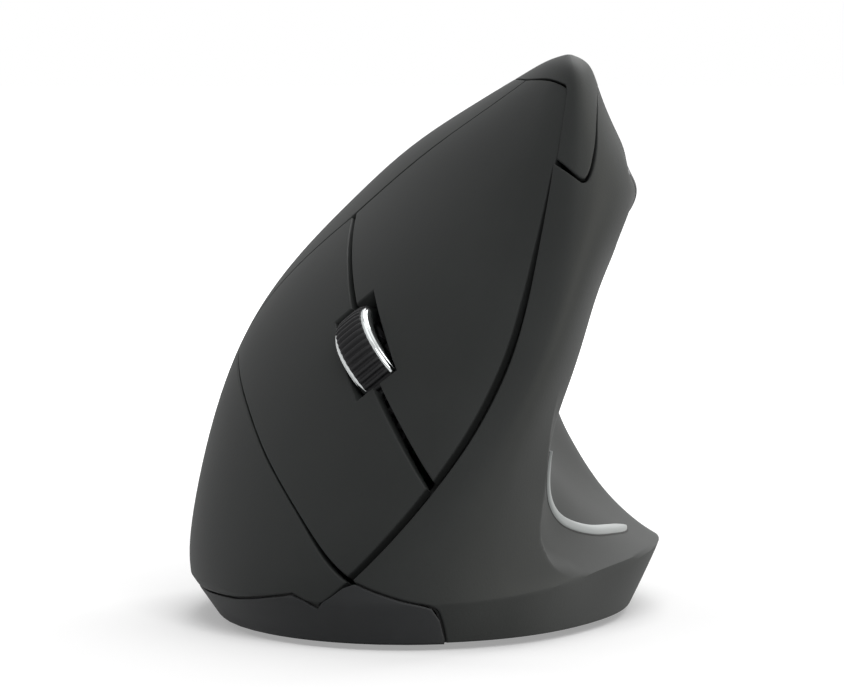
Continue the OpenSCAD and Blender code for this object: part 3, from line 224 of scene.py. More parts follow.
def beside(c, g, h=0.001):
    """Moves a line of points sideways on the body by g millimetres, to the left of its heading."""
    pts = at_uv(c)
    ahead = np.vstack([pts[1:], pts[-1:]]) - np.vstack([pts[:1], pts[:-1]])
    x = np.cross(normals(c), ahead)
    su, sv = (at_uv(c + h*SIDE) - pts)/h, (at_uv(c + h*UP) - pts)/h
    d = np.stack([(x*k).sum(-1)/(k*k).sum(-1) for k in (su, sv)], -1)
    return nudge(c, unit(d), g)


def refine(c, n=6):
    """Catmull-Rom curve through the points, n steps to a span."""
    c = np.asarray(c, float)
    a, b, d, e = np.vstack([c[:1], c[:-2]]), c[:-1], c[1:], np.vstack([c[2:], c[-1:]])
    t = (np.arange(n)/n)[None, :, None]
    a, b, d, e = (k[:, None, :] for k in (a, b, d, e))
    mid = b + 0.5*t*((d - a) + t*((2*a - 5*b + 4*d - e) + t*(3*b - a - 3*d + e)))
    return np.vstack([mid.reshape(-1, 2), c[-1:]])


def run(c, a=0.0, b=1.0):
    """Adds a parameter from a to b to each point of a line, even in millimetres along the body."""
    c = np.asarray(c, float)
    steps = np.linalg.norm(np.diff(at_uv(c), axis=0), axis=1)
    along = np.concatenate([[0], np.cumsum(steps)])
    return np.column_stack([a + (b - a)*along/along[-1], c])


def on_run(c, s):
    """Point (u, v) of a run at parameter s, straight between its points."""
    return np.stack([np.interp(s, c[:, 0], c[:, k]) for k in (1, 2)], -1)


def coons(b, s, t):
    """Coons patch on the grid of stops s and t: the two ruled surfaces between opposite borders, less
    the bilinear corner patch."""
    s, t = np.meshgrid(s, t, indexing="ij")
    lo, hi, left, right = on_run(b[0], s), on_run(b[1], s), on_run(b[2], t), on_run(b[3], t)
    s, t = s[..., None], t[..., None]
    corner = [on_run(b[k], float(e)) for k in (0, 1) for e in (0, 1)]
    return ((1 - t)*lo + t*hi + (1 - s)*left + s*right - (1 - s)*(1 - t)*corner[0]
            - s*(1 - t)*corner[1] - (1 - s)*t*corner[2] - s*t*corner[3])


def length(c):
    """Length of a run on the body in millimetres."""
    return np.linalg.norm(np.diff(at_uv(c[:, 1:]), axis=0), axis=1).sum()


def spans(runs):
    """Mean lengths in millimetres of a patch's first and second pair of borders."""
    return tuple(0.5*(length(runs[k]) + length(runs[k + 1])) for k in (0, 2))


def graded(a, b, mm, step, start=True, end=True):
    """Stops from a to b over mm millimetres: close together at the ends, about a step apart between."""
    lo = NEAR_EDGE if start else np.zeros(1)
    hi = mm - (NEAR_EDGE[::-1] if end else np.zeros(1))
    n = max(2, int(round((hi[0] - lo[-1])/step)))
    mid = np.linspace(lo[-1], hi[0], n + 1)[1:-1]
    return a + (b - a)*np.concatenate([lo, mid, hi])/mm


def joined(*parts):
    """Stops one after the other, with each shared value once."""
    return np.concatenate([p[:-1] for p in parts[:-1]] + [parts[-1]])


# ---- Meshes ----

def border_edges(keep):
    """Pairs of grid indices on the rim of the kept cells, in the order that closes a wall."""
    m, n = keep.shape
    pad = np.zeros((m + 2, n + 2), bool)
    pad[1:-1, 1:-1] = keep
    idx = np.arange((m + 1)*(n + 1)).reshape(m + 1, n + 1)
    a, b, c, d = idx[:-1, :-1], idx[1:, :-1], idx[1:, 1:], idx[:-1, 1:]
    out = []
    for (di, dj), (p, q) in {(0, -1): (b, a), (1, 0): (c, b), (0, 1): (d, c), (-1, 0): (a, d)}.items():
        free = keep & ~pad[1 + di:m + 1 + di, 1 + dj:n + 1 + dj]
        out.append(np.column_stack([p[free], q[free]]))
    return np.vstack(out)


def line_distance(pts, a, b):
    """Least distance from each point to the segments a-b: the foot of the perpendicular, held to each
    segment's ends."""
    d = b - a
    dd = np.maximum((d*d).sum(-1), 1e-12)

    def block(p):
        w = p[:, None, :] - a[None]
        t = np.clip((w*d).sum(-1)/dd, 0, 1)[..., None]
        return np.sqrt(((w - t*d)**2).sum(-1).min(1))

    return np.concatenate([block(p) for p in np.array_split(pts, max(1, len(pts)//1500))])


def round_over(d, r):
    """How far a rounded edge of radius r has dropped at distance d from the edge: a quarter circle."""
    return np.where(d < r, r - np.sqrt(np.maximum(r*r - (r - np.minimum(d, r))**2, 0)), 0)


def new_mesh(name, verts, faces, sharp=35):
    """Mesh object at the origin from points in millimetres, smooth but for edges sharper than sharp."""
    mesh = bpy.data.meshes.new(name)
    mesh.from_pydata((verts*MM).tolist(), [], [f.tolist() for f in faces])
    mesh.validate()
    mesh.shade_smooth()
    mesh.set_sharp_from_angle(angle=math.radians(sharp))
    mesh.update()
    obj = bpy.data.objects.new(name, mesh)
    bpy.context.scene.collection.objects.link(obj)
    return obj


def whole(uv):
    """All the cells of a grid."""
    return np.ones(np.array(uv.shape[:2]) - 1, bool)


def wall_mesh(name, outer, inner, keep, facing, sharp=35):
    """Closed wall between two grids of points: kept cells on both faces, and a rim round them.
    facing is the outward direction of one kept cell, and settles which way round the faces go."""
    m, n = keep.shape
    idx = np.arange((m + 1)*(n + 1)).reshape(m + 1, n + 1)
    cells = np.stack([idx[:-1, :-1], idx[1:, :-1], idx[1:, 1:], idx[:-1, 1:]], -1)[keep]
    off = (m + 1)*(n + 1)
    rim = border_edges(keep)
    faces = np.vstack([cells, cells[:, ::-1] + off,
                       np.column_stack([rim, rim[:, ::-1] + off])])
    pts = np.vstack([outer.reshape(-1, 3), inner.reshape(-1, 3)])
    k = len(cells)//2
    a, b, c, d = pts[cells[k]]
    if np.dot(np.cross(c - a, d - b), facing.reshape(-1, 3)[cells[k][0]]) < 0:
        faces = faces[:, ::-1]
    used, faces = np.unique(faces, return_inverse=True)
    return new_mesh(name, pts[used], faces.reshape(-1, 4), sharp=sharp)


def moulding(name, uv, keep=None, wall=2.0, radius=0.3, lift=0.0, soft=None):
    """Moulded cover on the grid uv of the body: the outer face drops in a quarter circle towards every
    edge, and the inner face lies a wall's depth inside. soft is (line, width, drop) for a broad soft
    shoulder that falls with the square of the closeness to that line. radius and lift may be given for
    each point of the grid."""
    keep = whole(uv) if keep is None else keep
    pts, n, into = at_uv(uv), normals(uv), inward(uv)
    flat = pts.reshape(-1, 3)
    rim = border_edges(keep)
    d = line_distance(flat, flat[rim[:, 0]], flat[rim[:, 1]]).reshape(pts.shape[:2])
    drop = round_over(d, radius) - lift
    if soft is not None:
        line, width, depth = soft
        edge = at_uv(line)
        near = line_distance(flat, edge[:-1], edge[1:]).reshape(pts.shape[:2])
        drop = drop + depth*np.clip(1 - near/width, 0, 1)**2
    return wall_mesh(name, pts - drop[..., None]*n, pts + wall*into, keep, n)


def strip_mesh(name, uv, top, bottom, sharp=35):
    """Closed strip on the grid uv: its two faces lie top and bottom millimetres off the body along the
    normals. top may be given for each line of the grid."""
    pts, n = at_uv(uv), normals(uv)
    top = np.broadcast_to(top, uv.shape[1])[None, :, None]
    return wall_mesh(name, pts + top*n, pts + bottom*n, whole(uv), n, sharp)


def crease(uv):
    """Height of the ridge between the front and the thumb scoop: it falls with the square of the
    distance from the line, slowly towards the nose and quickly towards the scoop, and fades at its ends.
    Two Gaussian hollows above and below the thumb bar's front corner make that corner crisp."""
    line = refine(RIDGE)
    edge = at_uv(line)
    d = line_distance(at_uv(uv).reshape(-1, 3), edge[:-1], edge[1:]).reshape(uv.shape[:2])
    ahead = uv[..., 0] > np.interp(uv[..., 1], line[:, 1], line[:, 0])
    fade = smooth((uv[..., 1] - 0.9)/1.3)*smooth((4.6 - uv[..., 1])/1.2)
    hollow = sum(np.exp(-((uv[..., 1] - v0)/wide)**2) for v0, wide in HOLLOWS)
    corner = smooth((-0.6 - uv[..., 0])/0.2)*smooth((30 - at_uv(uv)[..., 1])/25)
    ridge = RIDGE_HIGH*fade*np.clip(1 - d/np.where(ahead, RIDGE_FRONT, RIDGE_SCOOP), 0, 1)**2
    return ridge - HOLLOW*corner*hollow


# ---- Finger frame at the wheel ----

def finger_frame(h=0.001):
    """Origin on the body at the wheel, and axes back along the slit, to the palm, and outwards."""
    o, n = at_uv(WHEEL_UV), normals(WHEEL_UV)
    t = at_uv(WHEEL_UV + h*SLIT_HEADING) - o
    f = unit(t - n*(t @ n))
    return o, f, np.cross(n, f), n


WHEEL_O, WHEEL_F, WHEEL_E, WHEEL_N = finger_frame()


def finger_uv(f, e, h=0.001):
    """Surface coordinates over (f, e) in the finger frame, by Newton steps on the two equations."""
    f, e = np.broadcast_arrays(np.asarray(f, float), np.asarray(e, float))
    p = np.broadcast_to(WHEEL_UV, f.shape + (2,)).copy()
    for _ in range(9):
        o = at_uv(p)
        a, b = (at_uv(p + h*SIDE) - o)/h, (at_uv(p + h*UP) - o)/h
        q = o - WHEEL_O
        df, de = f - q @ WHEEL_F, e - q @ WHEEL_E
        m0, m1, m2, m3 = a @ WHEEL_F, b @ WHEEL_F, a @ WHEEL_E, b @ WHEEL_E
        det = m0*m3 - m1*m2
        p = p + np.stack([df*m3 - m1*de, m0*de - m2*df], -1)/det[..., None]
    return p


def finger_place(p):
    """Place (f, e) in the finger frame of surface points (u, v)."""
    q = at_uv(p) - WHEEL_O
    return np.stack([q @ WHEEL_F, q @ WHEEL_E], -1)


# ---- Properties ----

class MouseSizes(bpy.types.PropertyGroup):
    """Sizes of the mouse's skins that a user would change."""

    wall: FloatProperty(
        name="Wall", description="Wall of the moulded covers", default=2*MM, unit="LENGTH")
    edge: FloatProperty(
        name="Edge radius", description="Rounding of the moulded edges", default=0.25*MM, unit="LENGTH")
    shoulder: FloatProperty(
        name="Shoulder", description="Soft shoulder along the front gap", default=4.5*MM, unit="LENGTH")
    gap_low: FloatProperty(
        name="Gap at slit", description="Front gap at its widest", default=1.45*MM, unit="LENGTH")
    gap_high: FloatProperty(
        name="Gap at crest", description="Gap below the crest button", default=0.34*MM, unit="LENGTH")
    slit: FloatProperty(
        name="Slit", description="Slit between the finger buttons", default=0.95*MM, unit="LENGTH")
    seam: FloatProperty(
        name="Seam", description="Seam between the covers", default=0.32*MM, unit="LENGTH")
    crest_seam: FloatProperty(
        name="Crest seam", description="Seam below the crest button", default=0.38*MM, unit="LENGTH")
    wheel_d: FloatProperty(
        name="Wheel diameter", description="Diameter over the tyre", default=17*MM, unit="LENGTH")
    wheel_w: FloatProperty(
        name="Wheel width", description="Width over both rims", default=5.8*MM, unit="LENGTH")
    ribs: IntProperty(name="Ribs", description="Ribs round the tyre", default=52)


class MouseColours(bpy.types.PropertyGroup):
    """Colours of the mouse's finishes."""

    shell: FloatVectorProperty(
        name="Shell", description="Matte covers and buttons",
        size=4, subtype="COLOR", default=(0.022, 0.0235, 0.023, 1))
    base: FloatVectorProperty(
        name="Base", description="Base and battery door",
        size=4, subtype="COLOR", default=(0.026, 0.027, 0.028, 1))
    keys: FloatVectorProperty(
        name="Thumb keys", description="Satin thumb keys",
        size=4, subtype="COLOR", default=(0.014, 0.014, 0.015, 1))
    rubber: FloatVectorProperty(
        name="Tyre", description="Rubber tyre",
        size=4, subtype="COLOR", default=(0.011, 0.011, 0.012, 1))
    trim: FloatVectorProperty(
        name="Trim", description="Silver inlay on the ledge",
        size=4, subtype="COLOR", default=(0.2, 0.213, 0.213, 1))
    chrome: FloatVectorProperty(
        name="Rims", description="Bright rims of the wheel",
        size=4, subtype="COLOR", default=(0.52, 0.54, 0.54, 1))


def sizes():
    """The scene's sizes, in millimetres by name."""
    s = bpy.context.scene.mouse_sizes
    return {k: getattr(s, k)/(1 if k == "ribs" else MM) for k in MouseSizes.__annotations__}


# ---- Materials ----

def set_sockets(node, values):
    """Sets a shader node's inputs by name, with underscores for spaces."""
    for key, value in values.items():
        node.inputs[key.replace("_", " ")].default_value = value
    return node


def add_node(tree, kind, **values):
    """Adds a shader node with the given input values."""
    return set_sockets(tree.nodes.new("ShaderNode" + kind), values)


def finish(name, colour, rough, grain=(2400, 0.03), mottle=0.12, rough_span=0.06, lines=None, **sockets):
    """Moulded finish on Object coordinates: fine noise for the grain's bump, broad noise that mottles
    the colour by the share mottle and the roughness by rough_span. lines is (axis, scale, colour, share)
    for wavy lines of a second colour across the axis. Other sockets are set as given."""
    mat = bpy.data.materials.get(name)
    if mat:
        return mat
    mat = bpy.data.materials.new(name)
    mat.use_nodes = True
    tree = mat.node_tree
    link = tree.links.new
    shader = set_sockets(tree.nodes["Principled BSDF"], sockets)
    coords = add_node(tree, "TexCoord").outputs["Object"]
    broad = add_node(tree, "TexNoise", Scale=60, Detail=4)
    link(coords, broad.inputs["Vector"])
    ramp = add_node(tree, "ValToRGB")
    for stop, place, level in zip(ramp.color_ramp.elements, (0.3, 0.7), (1 - mottle, 1 + mottle)):
        stop.position = place
        stop.color = (*[min(1, c*level) for c in colour[:3]], 1)
    link(broad.outputs["Fac"], ramp.inputs["Fac"])
    shade = ramp.outputs["Color"]
    if lines:
        axis, scale, second, share = lines
        wave = add_node(tree, "TexWave", Scale=scale, Distortion=2)
        wave.bands_direction = axis
        link(coords, wave.inputs["Vector"])
        edge = add_node(tree, "MapRange", From_Min=1 - share, From_Max=1.08 - share)
        link(wave.outputs["Fac"], edge.inputs["Value"])
        mix = add_node(tree, "Mix")
        mix.data_type = "RGBA"
        link(edge.outputs["Result"], mix.inputs[0])
        link(shade, mix.inputs[6])
        mix.inputs[7].default_value = (*second, 1)
        shade = mix.outputs[2]
    link(shade, shader.inputs["Base Color"])
    span = add_node(tree, "MapRange", To_Min=rough - rough_span, To_Max=rough + rough_span)
    link(broad.outputs["Fac"], span.inputs["Value"])
    link(span.outputs["Result"], shader.inputs["Roughness"])
    fine = add_node(tree, "TexNoise", Scale=grain[0], Detail=3)
    link(coords, fine.inputs["Vector"])
    bump = add_node(tree, "Bump", Strength=0.35, Distance=grain[1]*MM)
    link(fine.outputs["Fac"], bump.inputs["Height"])
    link(bump.outputs["Normal"], shader.inputs["Normal"])
    return mat


def colours():
    """The scene's colours."""
    return bpy.context.scene.mouse_colours


def shell_finish():
    """Matte moulded plastic of the covers and buttons."""
    return finish("matte_shell", colours().shell, 0.62, grain=(2600, 0.04), Specular_IOR_Level=0.12)


def painted_seam_shade():
    """Near-black painted shade for the strips under the seams, standing for the shade that falls inside
    them.
    """
    return finish("painted_shade_black", (0.004, 0.004, 0.004), 0.9, grain=(900, 0.02))


def coat(obj, mat):
    """Gives an object one material in place of its own."""
    obj.data.materials.clear()
    obj.data.materials.append(mat)


def dress(obj, rides, slot, mat, *stands_for):
    """Gives a piece its material and body, and hides the nodes that it stands for."""
    coat(obj, mat)
    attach(obj, rides)
    if stands_for:
        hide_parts(*stands_for)


# ---- Border runs of the mouldings ----

def gap_line(side):
    """The front gap's edge, the gap tapering to the crest. side is 1 for the buttons and -1 for the
    thumb cover."""
    z = sizes()
    fine = refine(GAP)
    share = np.interp(np.arange(len(fine))/6, np.arange(len(GAP)), GAP_SHARE)
    width = z["gap_high"] + (z["gap_low"] - z["gap_high"])*share
    return beside(fine, side*width/2)


def half_seams():
    """Half the seam between the covers, and half the seam below the crest button."""
    z = sizes()
    return z["seam"]/2, z["crest_seam"]/2


def crest_halves():
    """Half the seam at each point of the crest button's right border: it narrows above the lobe."""
    return half_seams()[1]*np.array([1, 1, 1, 1, 0.95, 0.85, 1, 1.1, 1.1, 1.1])


def edge_radius(uv):
    """Rounding of the moulded edges, which are crisper round the crest."""
    return sizes()["edge"]*(1 - 0.65*smooth((uv[..., 1] - 7.6)/0.7))


def thumb_runs():
    """Foot, top, front and tail borders of the thumb cover, and where the front turns at the nose."""
    seam, crest = half_seams()
    gap = gap_line(-1)
    foot = nudge([NOSE_EDGE[0, 0], FOOT_V], SIDE, -seam)
    gap_top = nudge(gap[-1], UP, 0.42)
    tail_top = nudge(nudge(CREST_RIGHT[-1], UP, -crest), SIDE, seam)
    tail_low = nudge([-2, FOOT_V], SIDE, seam)
    low = np.linspace(foot, tail_low, 40)
    edge = beside(CREST_RIGHT, -crest_halves())
    top = refine(np.vstack([gap_top, edge[1:-1], tail_top]))
    nose = nudge(NOSE_EDGE, np.array([-0.02, 0.17]), seam)
    nose = refine(np.vstack([foot, nose[1:-1], NOSE_TOP]))
    front = run(np.vstack([nose, gap[1:-1], gap_top]))
    return [run(low), run(top), front, run(np.linspace(tail_low, tail_top, 40))], front[len(nose) - 1, 0]


def palm_runs():
    """Foot, top, front and tail borders of the palm cover."""
    seam, crest = half_seams()
    front_low = nudge(PALM_FRONT[0], UP, seam)
    front_top = nudge(nudge(LOWER[0], UP, -seam), SIDE, seam)
    low_rear = nudge(nudge(LOWER[-1], UP, -seam), SIDE, seam)
    mid_rear = nudge(BEND_L[0], SIDE, seam)
    top_front = nudge(nudge(BEND_L[-1], UP, -crest), SIDE, seam)
    tail_top = nudge(nudge(CREST_REAR[-1], UP, -crest), SIDE, -seam)
    tail_low = nudge(nudge(PALM_EDGE[-1], UP, seam), SIDE, -seam)
    low = np.vstack([front_low, nudge(PALM_EDGE[1:9], UP, seam)])
    lower = nudge(LOWER, UP, -seam)
    k = PALM_STOPS
    top = np.vstack([
        run(refine(np.vstack([front_top, lower[1:-1], low_rear])), k[0], k[1]),
        run(refine(np.vstack([low_rear, nudge(BEND_R[1], SIDE, seam), mid_rear])), k[1], k[2]),
        run(refine(np.vstack([mid_rear, nudge(BEND_L[1], SIDE, seam), top_front])), k[2], k[3]),
        run(refine(np.vstack([top_front, nudge(CREST_REAR[1:3], UP, -crest), tail_top])), k[3], k[4])])
    front = np.vstack([front_low, nudge(PALM_FRONT[1], SIDE, seam), front_top])
    bottom = np.vstack([run(low, 0, k[1]), run(np.linspace(low[-1], tail_low, 12), k[1], 1)])
    return [bottom, top, run(refine(front)), run(np.linspace(tail_low, tail_top, 40))]


def rim_runs():
    """Foot, top, nose and tail borders of the base's rim."""
    seam, _ = half_seams()
    nose = np.vstack([nudge([NOSE_EDGE[0, 0], 0.06], SIDE, seam),
                      nudge(NOSE_EDGE[1:], np.array([0.02, -0.17]), seam)])
    tail = nudge(nudge(PALM_EDGE[-1], UP, -seam), SIDE, -seam)
    palm = np.vstack([nudge(PALM_EDGE[:-1], UP, -seam), tail])
    front = np.vstack([nudge(PALM_FRONT[2], SIDE, -seam) + [0, -0.12],
                       nudge(PALM_FRONT[1], SIDE, -seam) + [0, -0.05]])
    top = np.vstack([nose, front, palm])
    low = np.linspace([nose[0, 0], FOOT_V], [tail[0], FOOT_V], 60)
    return [run(low), run(top), run(np.vstack([low[0], top[0]])), run(np.vstack([low[-1], tail]))]


def slit_reach():
    """Half length and half width of the wheel's slot in the finger buttons, as cut in the CAD."""
    z = sizes()
    r = z["wheel_d"]/2
    deep = WHEEL_OUT - r + z["wall"] + SLOT_PLAY
    return math.sqrt(r*r - deep**2) + SLOT_PLAY, z["wheel_w"]/2 + SLOT_PLAY


def slit_half(f):
    """Half width of the slit at f along the finger frame: wider before the wheel than behind it."""
    return sizes()["slit"]/2 - 0.1*np.clip(f/20, -1, 1)


def slit_bend(f):
    """Shift of the slit to the thumb side before the wheel: a soft corner at f = -9, then a straight
    line of slope 0.085."""
    return -0.0425*(np.sqrt((f + 9)**2 + 4) - f - 9)*(f < 0)


def button_grid(side):
    """Grid of one finger button, with the cells of the wheel's slot left out. side is -1 for the left
    button and 1 for the right. Next to the slit the grid follows the finger frame, so that the slot is
    cut square; beyond that it is a Coons patch out to the button's other three borders."""
    z = sizes()
    seam, crest = half_seams()
    half_l, half_w = slit_reach()
    start = z["slit"]/2
    strip = half_w + SLOT_STRIP
    gap = gap_line(1)
    end = finger_uv(SLIT_ENDS[1], side*slit_half(SLIT_ENDS[1]))
    place = finger_place(gap)
    off = place[:, 1] - slit_bend(place[:, 0]) - side*slit_half(place[:, 0])
    k = int(np.argmax(off < 0))
    meet = gap[k - 1] + off[k - 1]/(off[k - 1] - off[k])*(gap[k] - gap[k - 1])
    if side < 0:
        corner = nudge(nudge(CREST_LEFT[0], UP, -0.9*crest), SIDE, 0.7*seam)
        far_rear = nudge(nudge(BEND_L[-1], UP, -0.9*crest), SIDE, -seam)
        front = np.vstack([meet, gap[k:], nudge(refine(CREST_FRONT, 4), SIDE, 0.7*seam), corner])
        far = refine(np.vstack([corner, nudge(CREST_LEFT[1:3], UP, -0.9*crest), far_rear]))
        rear = refine(np.vstack([end, nudge(BEND_L[1], SIDE, -seam), far_rear]), 16)
    else:
        low_front = nudge(gap[0], UP, seam + 0.2)
        low_rear = nudge(nudge(LOWER[-1], UP, seam), SIDE, -seam)
        far = refine(np.vstack([low_front, nudge(LOWER[1:-1], UP, seam), low_rear]))
        front = np.vstack([meet, gap[k - 1:1:-1], low_front])
        rear = refine(np.vstack([end, nudge(BEND_R[1], SIDE, -seam), low_rear]), 16)
    # Where the front and rear borders cross each line of the strip
    beyond = np.array([0, 0.04, 0.1, 0.18, 0.3, 0.5, 0.9, 1.6, SLOT_STRIP])
    reach = side*start + side*np.concatenate([NEAR_EDGE[:-1], [2.3], (half_w - start) + beyond])
    fp, rp = finger_place(front), finger_place(rear)
    fp[:, 1] -= slit_bend(fp[:, 0])
    f0 = np.interp(side*reach, side*fp[:, 1], fp[:, 0])
    f1 = np.interp(side*reach, side*rp[:, 1], rp[:, 0])
    s = [graded(0, 1, -half_l - SLIT_ENDS[0], 1.2), graded(0, 1, 2*half_l, 1.2),
         graded(0, 1, SLIT_ENDS[1] - half_l, 1.2)]
    f = np.vstack([f0 + (-half_l - f0)*s[0][:-1, None],
                   np.broadcast_to((-half_l + 2*half_l*s[1])[:-1, None], (len(s[1]) - 1, len(reach))),
                   half_l + (f1 - half_l)*s[2][:, None]])
    part = np.clip(1 - (side*reach - start)/(half_w - start), 0, 1)
    near = finger_uv(f, reach + slit_bend(f) + side*part*(slit_half(f) - start))
    # The rest of the button: from the strip's last line to the far border
    edge = near[:, -1]
    cut_front = np.vstack([edge[0], front[np.abs(fp[:, 1]) > strip + 0.05]])
    cut_rear = np.vstack([edge[-1], rear[np.abs(rp[:, 1]) > strip + 0.05]])
    runs = [run(edge), run(far), run(cut_front), run(cut_rear)]
    t = graded(0, 1, spans(runs)[1], 1.1, start=False)[1:]
    rest = coons(runs, runs[0][:, 0], t)
    grid = np.concatenate([near, rest], axis=1)
    keep = whole(grid)
    i0, i1 = len(s[0]) - 1, len(s[0]) + len(s[1]) - 2
    keep[i0:i1, :len(NEAR_EDGE)] = False
    return grid, keep, front


def thumb_grid():
    """Grid of the thumb cover with lines close to its edges and to the two windows, and which cells
    are kept."""
    runs, corner = thumb_runs()
    ls, lt = spans(runs)
    s_marks, t_marks = (*KEY_S, 1), (0, *KEY_T, 1)
    fine = 0.33
    s = [graded(0, fine, fine*ls, 0.5, end=False),
         graded(fine, KEY_S[0], (KEY_S[0] - fine)*ls, 1.3, start=False)]
    s = joined(*s, *[graded(a, b, (b - a)*ls, 1.3) if (b - a)*ls > 6 else np.linspace(a, b, 9)
                     for a, b in zip(s_marks, s_marks[1:])])
    t = [graded(a, b, (b - a)*lt, step) for a, b, step in zip(t_marks, t_marks[1:], (0.6, 1.2, 1.2))]
    t = np.unique(np.append(joined(*t), corner))
    grid = coons(runs, s, t)
    cs, ct = 0.5*(s[1:] + s[:-1])[:, None], 0.5*(t[1:] + t[:-1])[None, :]
    open_s = ((cs > KEY_S[0]) & (cs < KEY_S[1])) | ((cs > KEY_S[2]) & (cs < KEY_S[3]))
    keep = ~(open_s & (ct > KEY_T[0]) & (ct < KEY_T[1]))
    return grid, keep


# ---- Operators ----

class MOUSE_OT_covers(bpy.types.Operator):
    """Thumb cover with its two windows, and palm cover"""

    bl_idname = "mouse.covers"
    bl_label = "Covers"

    def execute(self, context):
        z = sizes()
        grid, keep = thumb_grid()
        thumb = moulding("thumb_shell", grid, keep, z["wall"], edge_radius(grid), lift=crease(grid))
        dress(thumb, "base", "shell", shell_finish(), "thumb_cover")
        runs = palm_runs()
        ls, lt = spans(runs)
        s = joined(*[graded(a, b, (b - a)*ls, 1.3, start=a == 0, end=b == 1)
                     for a, b in zip(PALM_STOPS, PALM_STOPS[1:])])
        t = graded(0, 1, lt, 1.2)
        uv = coons(runs, s, t)
        palm = moulding("palm_shell", uv, None, z["wall"], edge_radius(uv),
                        soft=(runs[2][:, 1:], z["shoulder"], 0.35))
        dress(palm, "base", "shell", shell_finish(), "palm_cover")
        return {"FINISHED"}


class MOUSE_OT_finger_buttons(bpy.types.Operator):
    """Left and right finger buttons with the wheel's slot"""

    bl_idname = "mouse.finger_buttons"
    bl_label = "Finger buttons"

    def execute(self, context):
        z = sizes()
        for side, which in ((-1, "left"), (1, "right")):
            grid, keep, front = button_grid(side)
            obj = moulding(which + "_shell", grid, keep, z["wall"], edge_radius(grid),
                           soft=(front, z["shoulder"], 0.45))
            dress(obj, which, "shell", shell_finish(), which + "_button")
        return {"FINISHED"}


class MOUSE_OT_crest_button(bpy.types.Operator):
    """Crest button: lines that rise from its border to a ring round the top, and on to the top"""

    bl_idname = "mouse.crest_button"
    bl_label = "Crest button"

    def execute(self, context):
        seam, crest = half_seams()
        tail = nudge(CREST_REAR[-1], UP, 1.1*crest)
        edge = np.delete(beside(CREST_RIGHT, crest_halves()), 2, 0)
        ridge = beside(np.vstack([CREST_LEFT, CREST_REAR[1:]]), -0.9*crest)
        right = refine(np.vstack([edge[:-1], tail - [4, 0]]), 4)[::-1]
        front = nudge(refine(CREST_FRONT, 2), SIDE, -seam)
        back = refine(np.vstack([ridge[:-1], tail]), 4)
        border = np.vstack([right, front, back])
        ring = np.interp(np.arange(len(border)), RING[:, 0], RING[:, 1])
        fine = np.linspace(0, len(border) - 1, 6*(len(border) - 1) + 1)
        stops = np.arange(len(border))
        border = np.column_stack([np.interp(fine, stops, border[:, k]) for k in (0, 1)])
        ring = np.interp(fine, stops, ring)
        top = np.column_stack([ring, np.full(len(ring), LAST - RING_BELOW)])
        rise = np.linalg.norm(at_uv(top) - at_uv(border), axis=1)[:, None]
        near = NEAR_EDGE[None, :-1]/rise
        rest = near[:, -1:] + (1 - near[:, -1:])*np.linspace(0, 1, 12)[None, 1:]
        k = np.hstack([near, rest])[..., None]
        uv = border[:, None, :] + k*(top - border)[:, None, :]
        cap = np.linspace(0, 1, 6)[1:, None]*np.array([0, RING_BELOW])
        cap = top[:, None, :] + np.minimum(cap[None], [1, RING_BELOW - 0.001])
        uv = np.concatenate([uv, cap], axis=1)
        obj = moulding("crest_shell", uv, None, CREST_WALL, edge_radius(uv))
        weld(obj)
        dress(obj, "crest", "shell", shell_finish(), "crest_button")
        return {"FINISHED"}


def weld(obj, reach=0.004):
    """Merges the doubled points where a grid closes on itself or runs into a point."""
    bm = bmesh.new()
    bm.from_mesh(obj.data)
    bmesh.ops.remove_doubles(bm, verts=bm.verts, dist=reach*MM)
    bmesh.ops.dissolve_degenerate(bm, edges=bm.edges, dist=reach*MM)
    bm.to_mesh(obj.data)
    bm.free()


class MOUSE_OT_thumb_keys(bpy.types.Operator):
    """Two thumb keys that fill the cover's windows and stand a little proud"""

    bl_idname = "mouse.thumb_keys"
    bl_label = "Thumb keys"

    def execute(self, context):
        runs, _ = thumb_runs()
        satin = finish("satin_key", colours().keys, 0.5, grain=(1800, 0.015), Specular_IOR_Level=0.15)
        ls, lt = spans(runs)
        for k, which in enumerate(("forward", "back")):
            a, b = KEY_PLAY/ls, KEY_PLAY/lt
            s0, s1, t0, t1 = KEY_S[2*k] + a, KEY_S[2*k + 1] - a, KEY_T[0] + b, KEY_T[1] - b
            s, t = graded(s0, s1, (s1 - s0)*ls, 0.8), graded(t0, t1, (t1 - t0)*lt, 0.5)
            uv = coons(runs, s, t)
            obj = moulding(which + "_key", uv, None, KEY_WALL, 0.3, lift=KEY_PROUD + crease(uv))
            dress(obj, which, "key_plastic", satin, which + "_button")
        return {"FINISHED"}


class MOUSE_OT_trim(bpy.types.Operator):
    """Silver inlay that sweeps down the scoop to the ledge, with a strip of painted shadow along its
    upper edge
    """

    bl_idname = "mouse.trim"
    bl_label = "Trim"

    def execute(self, context):
        line = refine(STRIP, 14)
        k = np.arange(len(line))/(len(line) - 1)
        cap = np.clip((k - TRIM_CAP)/(1 - TRIM_CAP), 0, 1)
        half = TRIM_HALF*np.sqrt(1 - cap**2)*smooth(0.25 + k*3.2)
        e = np.linspace(-1, 1, 13)
        uv = np.stack([beside(line, half*x) for x in e], 1)
        crown = TRIM_CROWN*np.sqrt(np.clip(1 - e**2, 0, 1)) - 0.12
        obj = strip_mesh("thumb_trim", uv, crown, -0.4, sharp=60)
        silver = finish("satin_silver", colours().trim, 0.4, grain=(1500, 0.01), mottle=0.05,
                        Metallic=0.3, Specular_IOR_Level=0.3)
        dress(obj, "base", "trim", silver, "trim_strip")
        # A near-black strip just proud of the body beside the inlay's upper edge: painted shadow along
        # that edge.
        uv = np.stack([beside(line, -half - 0.02 - 0.26*x) for x in np.linspace(0, 1, 4)], 1)
        dress(strip_mesh("trim_shadow_line", uv, 0.03, -0.3), "base", "trim", painted_seam_shade())
        return {"FINISHED"}


